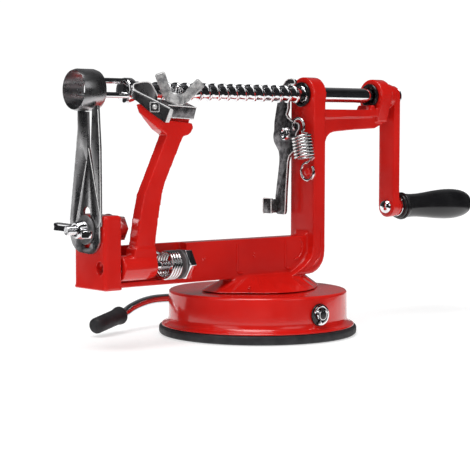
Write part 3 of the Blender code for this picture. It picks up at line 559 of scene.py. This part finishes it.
def frame_casting():
    """The frame with softened edges, and its casting marks: ribs, small lumps, a curl and a corner rib."""
    shape = from_cad("frame_casting")
    raised = []
    for x, low, high in ((-18.7, 35.8, 50.6), (16.5, 36.5, 50.6)):
        hooked = [(x, BAR_FACE_Y, high), (x, BAR_FACE_Y, low + 1.0), (x + 0.6, BAR_FACE_Y, low - 0.8),
                  (x + 2.0, BAR_FACE_Y, low - 1.6), (x + 3.6, BAR_FACE_Y + 0.1, low - 1.5)]
        raised.append(tube(smooth_path(hooked, 5), 0.62, 10))
    lumps = ((-42.8, -4.4, 42.9, 0.9), (-41.6, -4.4, 43.9, 0.7), (-6.7, -4.4, 43.0, 0.8),
             (-6.5, -4.4, 44.4, 0.6), (-53.4, -4.4, 38.4, 0.8), (-51.4, -4.4, 47.4, 0.9),
             (29.2, -4.4, 46.4, 0.7), (28.6, -4.4, 43.6, 0.6),
             (-23.0, -19.0, 27.2, 0.8), (-22.0, -18.2, 28.0, 0.7))
    for x, y, z, size in lumps:
        bead = ((0, -size), (size * 0.8, -size * 0.6), (size, 0), (size * 0.8, size * 0.6), (0, size))
        raised.append(turned(bead, (x, y, z), sides=10))
    lip = rounded(box(BLOCK_X, (-BLOCK_HALF_Y, BLOCK_HALF_Y), (BAR_BOTTOM, BAR_BOTTOM + 1.8)), 0.6, 2)
    curl = [(27.4, 50.6), (28.9, 49.0), (29.6, 46.6), (29.2, 44.0), (27.8, 41.8), (25.6, 40.2), (23.2, 39.8)]
    scar = tube(smooth_path([(x, BAR_FACE_Y - 0.1, z) for x, z in curl], 4), 0.5, 10)
    corner = [(38.9, 56.0), (38.9, 46.0), (38.0, 41.6), (35.6, 38.0), (32.0, 35.8)]
    corner_rib = tube(smooth_path([(x, COLUMN_FACE_Y, z) for x, z in corner], 4), 0.45, 8)
    recess = turned(((0, -2.6), (2.7, -2.6), (3.1, 3.0), (0, 3.0)), (-113.4, -8.6, 43.0), (1, 0, 0), 24)
    fuse(shape, lip)
    carve(shape, recess)
    finish(cast(shape, FRAME_VOXEL, 3), "frame_casting", sharp=75)
    finish(fuse(raised[0], *raised[1:]), "frame_casting", "_marks", sharp=60, stands_for=False)
    finish(scar, "frame_casting", "_scar", sharp=60, stands_for=False)
    finish(corner_rib, "frame_casting", "_corner_rib", sharp=60, stands_for=False)


def cast_arms():
    for node in ("peeling_arm", "crank_arm"):
        finish(cast(from_cad(node), ARM_VOXEL, 5), node, sharp=75)


# ---------------------------------------------------------------- drive line

def screw_thread(start, turns, sides, stations):
    """A threaded rod as one helical lattice; stations are (share of the lead, radius)."""
    per_turn = len(stations)
    rows = turns * per_turn
    bm = bmesh.new()
    grid = []
    for row in range(rows + per_turn + 1):
        share, radius = stations[row % per_turn]
        x = start + LEAD * (row // per_turn + share)
        line = []
        for a in range(sides):
            angle = 2 * math.pi * a / sides
            spot = (x + LEAD * a / sides, radius * math.cos(angle), SHAFT_Z + radius * math.sin(angle))
            line.append(bm.verts.new(spot) if row <= rows or a == 0 else None)
        grid.append(line)
    for row in range(rows):
        for a in range(sides - 1):
            bm.faces.new((grid[row][a], grid[row + 1][a], grid[row + 1][a + 1], grid[row][a + 1]))
        seam = grid[row + 1 + per_turn][0], grid[row + per_turn][0]
        bm.faces.new((grid[row][-1], grid[row + 1][-1], *seam))
    for first in (0, rows):
        centre = bm.verts.new((start + LEAD * (first // per_turn + 0.5), 0, SHAFT_Z))
        loop = list(grid[first]) + [grid[first + k][0] for k in range(per_turn, 0, -1)]
        for a, b in zip(loop, loop[1:] + loop[:1]):
            bm.faces.new((centre, a, b))
    return mesh_object("thread", bm)


def drive_shaft():
    stations = ((0.0, 4.0), (0.05, 4.08), (0.085, 4.45), (0.115, 4.78), (0.15, 4.88), (0.25, 4.88),
                (0.285, 4.78), (0.315, 4.45), (0.35, 4.08), (0.40, 4.0), (0.70, 3.97))
    thread = screw_thread(THREAD_START, THREAD_TURNS, 56, stations)
    nose = rod(on_shaft(THREAD_START - 3), on_shaft(THREAD_START + 8), 3.8)
    smooth = ((0, 0), (SMOOTH_R, 0), (SMOOTH_R, 74.6), (3.6, 75.25), (0, 75.25))
    tail = turned(smooth, on_shaft(32.6), (1, 0, 0), 64)
    shape = fuse(thread, nose, tail)
    socket = rod(on_shaft(98.6), on_shaft(110), 1.8, 24)
    finish(carve(shape, socket), "drive_shaft", sharp=40)


def apple_fork():
    profile = ((0, 0), (5.6, 0), (6.2, 0.35), (6.6, 1.0), (6.6, 4.6), (6.3, 5.2), (5.6, 5.6), (4.1, 5.6),
               (4.1, 2.7), (0, 2.7))
    hub = turned(profile, on_shaft(FORK_FACE_X), (1, 0, 0), 64)
    pointed = ((0, -1.5), (1.5, -1.5), (1.5, 18), (1.3, 19.6), (0.2, 24.9), (0, 25.0))
    prongs = []
    for y, z in arc((0, SHAFT_Z), PRONG_CIRCLE_R, 90, 330, 2):
        prongs.append(turned(pointed, (FORK_FACE_X, y, z), (-1, 0, 0), 24))
    finish(fuse(hub, *prongs), "apple_fork", sharp=50)


def bushings():
    for node, (face, length) in LUG_FACES.items():
        profile = ((5.2, 0.25), (5.45, 0), (6.6, 0), (6.9, 0.3), (6.9, 1.0), (6.6, 1.3),
                   (5.8, 1.3), (5.8, length), (5.2, length))
        finish(turned(profile, on_shaft(face - 1.6), (1, 0, 0), 72), node)


def crank_hardware():
    face = CRANK_FACE_X
    flanged = ((0, 0), (5.0, 0), (5.2, 0.2), (5.2, 0.45), (5.0, 0.6), (4.2, 0.6), (4.1, 1.3), (3.7, 1.75),
               (2.9, 2.05), (0, 2.1))
    head = turned(flanged, on_shaft(face), (1, 0, 0), 56)
    slot = box((face + 1.3, face + 5), (-0.6, 0.6), (SHAFT_Z - 6, SHAFT_Z + 6))
    finish(carve(fuse(head, rod(on_shaft(face - 6), on_shaft(face + 1), 1.5)), slot), "crank_screw")
    domed = ((0, -3.2), (1.3, -3.05), (2.5, -2.55), (3.4, -1.75), (3.95, -0.9), (4.1, -0.3), (0, -0.3))
    dome = turned(domed, (101.5, 0, HANDLE_Z), (1, 0, 0), 48)
    finish(fuse(dome, rod((100.5, 0, HANDLE_Z), (166.6, 0, HANDLE_Z), 2.5)), "handle_bolt", sharp=50)
    flat = ((2.8, 0), (5.8, 0), (6.0, 0.2), (6.0, 0.5), (5.8, 0.7), (2.8, 0.7))
    finish(turned(flat, (109.9, 0, HANDLE_Z), (1, 0, 0), 48), "handle_washer")


def handle_grip():
    outer = [(2.8, 0), (6.9, 0), (7.3, 0.25), (7.55, 0.9), (7.55, 1.5), (7.3, 1.75), (7.3, 2.0), (7.9, 2.15),
             (8.15, 2.5), (8.15, 3.3), (7.9, 3.75), (7.45, 4.1)]
    body = [(7.3, 5.5), (7.15, 7.5), (7.0, 10.0), (6.95, 13.0), (7.05, 16.5), (7.3, 20.0), (7.65, 24.0),
            (8.1, 28.5), (8.55, 33.0), (8.9, 38.0), (9.1, 42.0), (9.1, 46.0), (8.9, 50.0), (8.4, 54.0),
            (7.7, 57.0), (6.8, 59.2), (5.5, 60.9), (3.9, 61.9), (2.0, 62.3), (0, 62.4),
            (0, 57.4), (2.8, 57.4)]
    finish(turned(outer + body, (GRIP_START_X, 0, HANDLE_Z), (1, 0, 0), 96), "handle_grip", sharp=50)


# ---------------------------------------------------------------- release lever

def release_lever():
    """A plate in a YZ plane: a finger over the shaft, a round middle, and a thumb tab towards the blade."""
    finger = [(5.5, 124.0), (5.5, 136.0), (5.1, 137.0), (3.4, 137.6), (-0.2, 137.6), (-0.1, 138.8)]
    tip = [(0.6, 140.0), (2.8, 140.6), (5.2, 140.5), (7.4, 139.3), (9.3, 137.2), (11.6, 133.0), (14.2, 128.0)]
    back = [(15.6, 122.6), (17.0, 116.0)] + arc((10.6, 108.2), 7.2, 25, -45, 8) + [(13.2, 99.8), (12.6, 96.6)]
    stem = [(12.7, 93.0), (13.3, 89.0), (15.8, 74.0), (15.6, 66.0), (15.1, 64.7), (14.0, 64.0), (9.0, 64.0)]
    front = [(8.1, 64.5), (7.6, 66.0), (7.0, 78.0), (5.6, 94.0), (4.4, 97.2), (2.4, 98.9), (0.5, 100.0)]
    ear = [(-0.3, 106.5), (-1.5, 110.2), (-3.6, 112.6), (-3.6, 114.4), (-3.0, 115.4), (2.6, 117.0),
           (5.4, 118.6), (7.0, 120.5)]
    plate = rounded(prism(finger + tip + back + stem + front + ear, "X", *LEVER_X), 0.3, 2)
    # A painted highlight along the plate's cut edge, as a thin bright line.
    edge = [(LEVER_X[0] + 0.1, y, z) for y, z in front + ear + finger + tip]
    painted_highlight_line(edge, 0.3, "release_lever", "_painted_edge_highlight")
    tab = [(15.4, 64.4), (15.4, 73.0), (21.6, 73.0), (22.1, 72.8), (22.3, 72.3), (22.3, 65.1), (22.1, 64.6),
           (21.6, 64.4)]
    flap = rounded(prism(tab, "X", 23.5, 25.0), 0.3, 2)
    # A painted highlight along the tab's rim, as a thin bright line.
    rim = [(23.6, y, z) for y, z in tab]
    painted_highlight_line(rim, 0.35, "release_lever", "_tab_edge")
    bridge = rounded(box((23.6, 28.9), (13.8, 16.0), (64.8, 72.6)), 0.8, 4)
    shape = fuse(plate, bridge, flap)
    pivot = rod((20, *LEVER_PIVOT), (34, *LEVER_PIVOT), 2.2)
    eyelet = rod((20, *LEVER_EYE), (34, *LEVER_EYE), 1.1, 24)
    finish(carve(shape, pivot, eyelet), "release_lever", look="dark_steel")


def lever_pivot():
    raised = ((0, 1.0), (2.3, 1.0), (2.5, 2.1), (3.1, 2.3), (3.6, 1.9), (3.9, 1.1), (3.9, 0), (0, 0))
    head = turned(raised, (LEVER_X[0] - 0.3, *LEVER_PIVOT), (-1, 0, 0), 40)
    finish(fuse(head, rod((25.9, *LEVER_PIVOT), (38.3, *LEVER_PIVOT), 1.9)), "lever_pivot_screw", sharp=45)
    sleeve = ((2.2, 0), (3.6, 0), (3.8, 0.25), (3.8, 3.45), (3.6, 3.7), (2.2, 3.7))
    finish(turned(sleeve, (LEVER_X[1] + 0.3, *LEVER_PIVOT), (1, 0, 0), 40), "lever_spacer")


def lever_spring():
    """An extension spring: a wire through the lever's eye, a loop, close coils, and a hook round the peg."""
    top, low = Vector((25.6, -7.6, 108.6)), Vector((26.0, -9.8, 96.4))
    turns, wire, radius, steps = 7, 0.8, 5.1, 32
    along = (low - top).normalized()
    side = Vector((1, 0, 0))
    side = (side - along * side.dot(along)).normalized()
    across = along.cross(side)
    lead_in = [Vector((30.4, *LEVER_EYE)), Vector((26.2, *LEVER_EYE))]
    loop = Vector((25.6, -5.0, 114.0))
    for i in range(11):
        angle = math.radians(20 + 21 * i)
        lead_in.append(loop + Vector((0, 4.4 * math.cos(angle), 4.4 * math.sin(angle))))
    coil = []
    for i in range(turns * steps + 1):
        angle = 2 * math.pi * i / steps + 0.6
        out = side * math.cos(angle) + across * math.sin(angle)
        coil.append(top.lerp(low, i / (turns * steps)) + radius * out)
    hook = Vector((30.0, -7.8, 88.8))
    tail = []
    for i in range(21):
        angle = math.radians(95 - 15.5 * i)
        tail.append(hook + Vector((0, 4.9 * math.cos(angle), 4.9 * math.sin(angle))))
    path = smooth_path(lead_in, 3) + coil + smooth_path([coil[-1]] + tail, 3)[1:]
    finish(tube(path, wire, 14), "lever_spring", sharp=60)


# ---------------------------------------------------------------- peeling arm's fittings

def along_clamp(distance):
    return tuple(CLAMP_SPOT + CLAMP_AXIS * distance)


def in_clamp_frame(part):
    turn = Vector((0, 0, 1)).rotation_difference(CLAMP_AXIS).to_matrix().to_4x4()
    part.data.transform(Matrix.Translation(CLAMP_SPOT) @ turn)
    return part


def threaded_end(low, high, radius, pitch=0.8):
    """A turned profile of fine screw crests between two heights."""
    profile = [(0, low), (radius - 0.3, low)]
    height = low
    while height + pitch < high:
        profile += [(radius - 0.22, height), (radius, height + pitch * 0.35), (radius, height + pitch * 0.5)]
        height += pitch
    return profile + [(radius - 0.25, height), (radius - 0.25, high - 0.3), (radius - 0.6, high), (0, high)]


def wing_nut(wing, half_thickness):
    """A wing nut about Z: a hub with a rim, and two wings of one outline of (distance out, height) points."""
    hub = turned(((2.8, 0), (4.6, 0), (4.9, 0.3), (4.9, 1.3), (4.65, 1.7), (4.3, 4.2), (4.0, 5.2), (3.6, 5.6),
                  (2.8, 5.6)), (0, 0, 0), sides=48)
    wings = []
    for side in (-1, 1):
        outline = [(side * out, height) for out, height in wing]
        wings.append(rounded(prism(outline, "Y", -half_thickness, half_thickness), 0.45, 3))
    return fuse(hub, *wings)


def peeling_wing_nut():
    wing = ((3.2, 0.6), (3.0, 5.2), (7.9, 13.5), (8.5, 14.3), (9.3, 14.5), (12.4, 12.6), (12.9, 12.0),
            (12.8, 11.2), (6.7, 2.2), (5.0, 0.6))
    shape = wing_nut(wing, 1.15)
    shape.data.transform(Matrix.Rotation(math.radians(PEELING_WING_TURN), 4, "Z"))
    shape.data.transform(Matrix.Translation((0, 0, 0.3)))
    finish(in_clamp_frame(shape), "peeling_wing_nut", sharp=45, look="bright_zinc")


def blade_clamp():
    """The folded plate that holds the blade, two painted highlights along its edges, and the bolt through it.
    """
    top = box((-7.4, 11.2), (-4.6, 6.4), (-1.8, 0))
    front = box((-7.4, 11.2), (-4.6, -3.0), (-6.2, -1.0))
    shape = in_clamp_frame(rounded(fuse(top, front), 0.35, 3))
    hole = rod(along_clamp(-9), along_clamp(5), 2.2)
    finish(carve(shape, hole), "blade_clamp", look="dark_steel")
    # Thin bright lines along the two folded edges are painted highlights.
    for k, height in enumerate((0.0, -6.2)):
        line = in_clamp_frame(tube([(-7.2, -4.6, height), (11.0, -4.6, height)], 0.3, 8))
        finish(line, "blade_clamp", f"_edge_{k}", sharp=60, look="painted_edge_highlight", stands_for=False)
    bolt = in_clamp_frame(turned(threaded_end(-7.6, 9.6, 1.9), (0, 0, 0), sides=36))
    finish(bolt, "clamp_bolt", sharp=30)


def ribbon(stations, thickness):
    """A strip through stations of (lower point, upper point, outward direction), ground along its top."""
    bm = bmesh.new()
    rings = []
    for low, high, outward in stations:
        step = Vector(outward).normalized() * thickness
        low, high = Vector(low), Vector(high)
        edge = (high - low).normalized() * 0.9
        corners = (low, high - edge, high + step * 0.12, high - edge + step, low + step)
        rings.append([bm.verts.new(corner) for corner in corners])
    for a, b in zip(rings, rings[1:]):
        for i in range(len(a)):
            j = (i + 1) % len(a)
            bm.faces.new((a[i], a[j], b[j], b[i]))
    bm.faces.new(rings[0])
    bm.faces.new(rings[-1])
    return mesh_object("blank", bm)


def peeling_blade():
    """The strip bent into a narrow loop: a sharpened upper edge, a rivet near its end and a turned end."""
    knots = (((-79.4, -18.6, 115.6), (-77.6, -20.6, 122.8), (-0.55, -0.83, 0)),
             ((-86.0, -15.4, 120.6), (-85.2, -16.6, 127.2), (-0.45, -0.89, 0)),
             ((-92.0, -12.0, 126.4), (-92.8, -12.6, 131.4), (-0.75, -0.66, 0)),
             ((-93.0, -10.4, 127.4), (-93.2, -10.6, 133.8), (-1.0, 0.1, 0)),
             ((-91.4, -9.4, 127.6), (-90.4, -9.4, 135.4), (-0.3, 0.95, 0)),
             ((-83.4, -9.7, 126.4), (-82.6, -9.7, 136.0), (0.1, 0.99, 0)),
             ((-80.2, -10.2, 124.8), (-79.4, -10.3, 132.2), (0.35, 0.93, 0)),
             ((-78.4, -11.0, 124.2), (-78.2, -11.2, 129.0), (0.6, 0.8, 0)))
    columns = [smooth_path([knot[k] for knot in knots], 5) for k in range(3)]
    strip = ribbon(list(zip(*columns)), 0.7)
    finish(strip, "peeling_blade", sharp=30)
    # A painted highlight along the sharpened upper edge, as a thin bright line.
    painted_highlight_line(columns[1], 0.32, "peeling_blade", "_sharpened_edge_painted_glint")
    # The turned end is a real bent flange, coloured near white as a painted highlight.
    flange = ribbon((((-79.3, -18.9, 115.7), (-77.6, -20.8, 122.7), (-0.4, -0.9, 0)),
                     ((-78.3, -19.1, 115.6), (-76.6, -21.0, 122.5), (0.2, -1.0, 0)),
                     ((-77.5, -18.7, 115.7), (-75.8, -20.6, 122.3), (0.6, -0.8, 0))), 0.7)
    finish(flange, "peeling_blade", "_turned_end", sharp=60, look="painted_edge_highlight", stands_for=False)
    spot, out = Vector((-84.43, -16.75, 123.4)), Vector((-0.48, -0.87, 0.02)).normalized()
    across, up = Vector((0.87, -0.48, 0)), Vector((0.0, 0.0, 1.0))
    rim = []
    for a, b in ((-1, -1), (1, -1), (1, 1), (-1, 1)):
        start = spot + out * 0.7 + (across * a + up * b) * 2.3
        end = spot + out * 0.7 + (across * -b + up * a) * 2.3
        rim.append(rod(start, end, 0.3, 8))
    domed = ((0, -0.4), (1.25, -0.4), (1.25, 0.7), (0.9, 1.25), (0, 1.4))
    rivet = fuse(turned(domed, spot + out * 0.4, tuple(out), 24), *rim)
    finish(rivet, "peeling_blade", "_rivet", sharp=50, look="bright_zinc", stands_for=False)


def arm_pivot():
    """The arm's bolt, its washer and the torsion spring round it."""
    y, z = ARM_PIVOT
    head = rounded(hex_head((-61.4, y, z), (-57.0, y, z), 15), 0.45, 3)
    finish(fuse(head, rod((-109.6, y, z), (-60, y, z), 2.4)), "arm_pivot_bolt")
    flat = ((2.7, 0), (7.4, 0), (7.7, 0.25), (7.7, 0.85), (7.4, 1.1), (2.7, 1.1))
    finish(turned(flat, (-62.9, y, z), (1, 0, 0), 56), "arm_pivot_washer")
    wire, radius, turns, steps = 0.7, 7.0, 4, 36
    last = turns * steps + steps // 3
    coil = []
    for i in range(last + 1):
        angle = math.radians(60 - 360 * i / steps)
        x = -72.4 + 7.4 * (i / last)
        coil.append(Vector((x, y + radius * math.cos(angle), z + radius * math.sin(angle))))
    end = coil[-1]
    leg = [(-80.4, -3.9, 56.0), (-78.6, -3.3, 52.0), (-75.0, -4.0, 49.0), coil[0]]
    path = smooth_path(leg, 5)[:-1] + coil + [end + Vector((0.3, 2.6, 0.1)), end + Vector((0.6, 4.8, 0.2))]
    finish(tube(path, wire, 14), "arm_torsion_spring", sharp=60)


# ---------------------------------------------------------------- slicing blade

def slicing_blade():
    """The slotted plate with its slit, painted highlights as thin lines along its cut edges, and the coring
    ring on it.
    """
    foot = [(-10.6, 55.6)] + arc((-2.0, 58.2), 8.6, 200, 270, 9) + arc((4.6, 60.4), 10.4, 272, 360, 14)
    left = [(14.9, 66.0), (9.2, 101.7), (7.6, 112.0), (7.6, 124.0), (-1.0, 124.0), (-1.6, 103.0)]
    plate_left = prism(foot + left + [(-1.8, 102.6), (-10.9, 71.0)], "X", *BLADE_X)
    right = [(-11.8, 64.0), (-11.4, 103.0), (-9.8, 124.0), (-5.0, 124.0), (-3.6, 103.0), (-9.9, 76.0),
             (-9.6, 64.0)]
    plate_right = prism(right, "X", *BLADE_X)
    slit = prism(((10.4, 64.0), (0.6, 96.6), (-0.3, 96.4), (9.4, 63.8)), "X", -120, -110)
    slot = prism(arc((0, 55.4), 3.0, 180, 360, 14) + arc((0, 70.4), 3.0, 0, 180, 14), "X", -120, -110)
    seat = rod(on_shaft(-125), on_shaft(-105), 10.9, 56)
    shape = carve(fuse(plate_left, plate_right), slit, slot, seat)
    finish(rounded(shape, 0.18, 2), "slicing_blade")
    # Thin bright lines along the cut edges are painted highlights.
    edges = (left[:4], [(-1.8, 102.6), (-10.9, 71.0), (-10.6, 58.0)], [(9.6, 64.4), (-0.1, 96.4)],
             [(-11.8, 66.0), (-11.4, 103.0), (-9.9, 122.0)])
    for k, line in enumerate(edges):
        on_face = [(BLADE_X[0] + 0.05, y, z) for y, z in line]
        painted_highlight_line(on_face, 0.22, "slicing_blade", f"_painted_edge_highlight_{k}")
    sharpened = ((9.75, 0), (9.9, 0), (10.5, 1.8), (10.5, 11.0), (9.9, 13.0), (9.75, 13.0))
    finish(turned(sharpened, on_shaft(-122.0), (1, 0, 0), 96), "coring_ring")


def slicing_hardware():
    z = SLICING_BOLT_Z
    flat = ((0, 0), (7.3, 0), (7.6, 0.3), (7.6, 1.2), (7.3, 1.5), (0, 1.5))
    flange = turned(flat, (-101.9, 0, z), (1, 0, 0), 48)
    head = rounded(hex_head((-101.0, 0, z), (-93.4, 0, z), 12), 0.4, 3)
    shank = turned(threaded_end(0, 27, 2.4, 0.9), (-100.0, 0, z), (-1, 0, 0), 36)
    finish(fuse(head, flange, shank), "slicing_bolt", sharp=30)
    holed = ((2.8, 0), (7.1, 0), (7.4, 0.3), (7.4, 1.0), (7.1, 1.3), (2.8, 1.3))
    finish(turned(holed, (-116.1, 0, z), (1, 0, 0), 56), "slicing_washer")
    wing = ((3.2, 0.8), (3.2, 4.8), (6.4, 6.4), (11.2, 9.4), (12.4, 9.7), (13.5, 9.2), (14.6, 7.2),
            (14.8, 6.2), (14.3, 4.9), (6.4, 1.0))
    shape = wing_nut(wing, 1.85)
    shape.data.transform(Matrix.Rotation(math.radians(SLICING_WING_TURN), 4, "Z"))
    shape.data.transform(Matrix.Rotation(math.radians(-90), 4, "Y"))
    shape.data.transform(Matrix.Translation((-116.4, 0, z)))
    finish(shape, "slicing_wing_nut", sharp=45)


def carried_over():
    """CAD nodes that already have their real shape get the detailed materials."""
    for node, part in frame["nodes"].items():
        part.data.materials.clear()
        part.data.materials.append(LOOKS[SLOT_OF[node]])


# ---------------------------------------------------------------- stage, light and camera

def aim(thing, target):
    thing.rotation_euler = (Vector(target) - thing.location).to_track_quat("-Z", "Y").to_euler()


def panel(name, spot, target, width, height, radiance):
    """A softbox of a given brightness."""
    light = bpy.data.lights.new(name, "AREA")
    light.shape = "RECTANGLE"
    light.size, light.size_y = width, height
    light.energy = radiance * math.pi * width * height
    thing = bpy.data.objects.new(name, light)
    thing.location = spot
    bpy.context.scene.collection.objects.link(thing)
    aim(thing, target)
    thing.visible_camera = False


def glossy_only(thing):
    """A studio card that only reflections see."""
    thing.visible_camera = False
    thing.visible_diffuse = False
    thing.visible_shadow = False
    thing.visible_transmission = False
    thing.visible_volume_scatter = False


def dark_cards():
    """Black velvet round the camera's side of the studio, on the table and upright.

    It gives the chrome its contrast. Past one angle the card on the table keeps farther from the object.
    """
    look = Look("black_velvet")
    look.colour(look.noise(5, 2), (0.012, 0.012, 0.013), (0.022, 0.022, 0.024))
    look.roughness(look.noise(9, 2), 0.8, 0.9)
    look.fixed(specular_ior_level=0.0)
    far, lift = 1.35, 0.0004
    for high, inner, on_table in ((0.0, 0.17, True), (1.3, far, False)):
        bm = bmesh.new()
        rings = []
        for k in range(49):
            angle = math.radians(-229.5 + 5.0 * k)
            spot = Vector((math.cos(angle), math.sin(angle), 0))
            farther = min(1.0, max(0.0, (angle + 0.85) / 0.12)) if on_table else 0
            near = inner + 0.17 * farther
            rings.append((bm.verts.new(spot * near + Vector((0, 0, lift))),
                          bm.verts.new(spot * far + Vector((0, 0, high + lift)))))
        for first, after in zip(rings, rings[1:]):
            bm.faces.new((first[0], after[0], after[1], first[1]))
        card = mesh_object("card", bm)
        card.data.materials.append(look.made)
        glossy_only(card)


def studio_world():
    """White for the camera, a soft even fill for matt surfaces, and for gloss dark with a paler back."""
    world = bpy.data.worlds.new("studio")
    bpy.context.scene.world = world
    world.use_nodes = True
    nodes, links = world.node_tree.nodes, world.node_tree.links
    seen = nodes["Background"]
    fill, gloss = nodes.new("ShaderNodeBackground"), nodes.new("ShaderNodeBackground")
    seen.inputs["Color"].default_value = (1, 1, 1, 1)
    seen.inputs["Strength"].default_value = WORLD_BEHIND
    fill.inputs["Color"].default_value = (1, 1, 1, 1)
    fill.inputs["Strength"].default_value = FILL
    where = nodes.new("ShaderNodeTexCoord")
    facing = nodes.new("ShaderNodeVectorMath")
    facing.operation = "DOT_PRODUCT"
    facing.inputs[1].default_value = (0.64, 0.75, 0.16)
    links.new(where.outputs["Generated"], facing.inputs[0])
    ramp = nodes.new("ShaderNodeValToRGB")
    ramp.color_ramp.elements[0].position = 0.55
    ramp.color_ramp.elements[0].color = (0.03, 0.03, 0.032, 1)
    ramp.color_ramp.elements[1].position = 0.9
    ramp.color_ramp.elements[1].color = (0.16, 0.16, 0.165, 1)
    links.new(facing.outputs["Value"], ramp.inputs["Fac"])
    links.new(ramp.outputs["Color"], gloss.inputs["Color"])
    path = nodes.new("ShaderNodeLightPath")
    first, second = nodes.new("ShaderNodeMixShader"), nodes.new("ShaderNodeMixShader")
    links.new(path.outputs["Is Glossy Ray"], first.inputs["Fac"])
    links.new(fill.outputs["Background"], first.inputs[1])
    links.new(gloss.outputs["Background"], first.inputs[2])
    links.new(path.outputs["Is Camera Ray"], second.inputs["Fac"])
    links.new(first.outputs["Shader"], second.inputs[1])
    links.new(seen.outputs["Background"], second.inputs[2])
    links.new(second.outputs["Shader"], nodes["World Output"].inputs["Surface"])


def stage():
    scene = bpy.context.scene
    bm = bmesh.new()
    bmesh.ops.create_circle(bm, cap_ends=True, segments=96, radius=9.0)
    floor = mesh_object("floor", bm)
    floor.data.materials.append(pale_floor())
    floor.location.z = -0.0002
    dark_cards()
    studio_world()
    sun = bpy.data.lights.new("overhead", "SUN")
    sun.energy = SUN
    sun.angle = math.radians(40)
    overhead = bpy.data.objects.new("overhead", sun)
    overhead.rotation_euler = (math.radians(8), math.radians(-16), 0)
    scene.collection.objects.link(overhead)
    panel("softbox_left", (-1.05, -0.14, 0.5), TARGET, 0.6, 0.85, 1.1)
    panel("softbox_right", (0.12, -1.25, 0.55), TARGET, 0.65, 1.0, 1.0)
    scene.view_settings.view_transform = "Standard"


def camera():
    lens = bpy.data.cameras.new("camera")
    lens.sensor_width = 36.0
    lens.lens = LENS
    lens.clip_start = 0.05
    view = bpy.data.objects.new("camera", lens)
    bpy.context.scene.collection.objects.link(view)
    turn, pitch, roll = (math.radians(angle) for angle in (CAMERA_TURN, CAMERA_PITCH, CAMERA_ROLL))
    ahead = Vector((math.sin(turn) * math.cos(pitch), math.cos(turn) * math.cos(pitch), -math.sin(pitch)))
    right = Vector((math.cos(turn), -math.sin(turn), 0.0))
    up = right.cross(ahead)
    right, up = (right * math.cos(roll) + up * math.sin(roll), up * math.cos(roll) - right * math.sin(roll))
    spot = -CAMERA_DISTANCE * ahead - right * CAMERA_LEFT + up * CAMERA_RISE
    view.matrix_world = Matrix((
        (right.x, up.x, -ahead.x, spot.x),
        (right.y, up.y, -ahead.y, spot.y),
        (right.z, up.z, -ahead.z, spot.z),
        (0, 0, 0, 1),
    ))
    bpy.context.scene.camera = view


def build():
    carried_over()
    suction_pad()
    suction_housing()
    suction_lever()
    lever_sleeve()
    retaining_clip()
    frame_casting()
    cast_arms()
    drive_shaft()
    apple_fork()
    bushings()
    crank_hardware()
    handle_grip()
    release_lever()
    lever_pivot()
    lever_spring()
    peeling_wing_nut()
    blade_clamp()
    peeling_blade()
    arm_pivot()
    slicing_blade()
    slicing_hardware()
    stage()
    camera()


build()
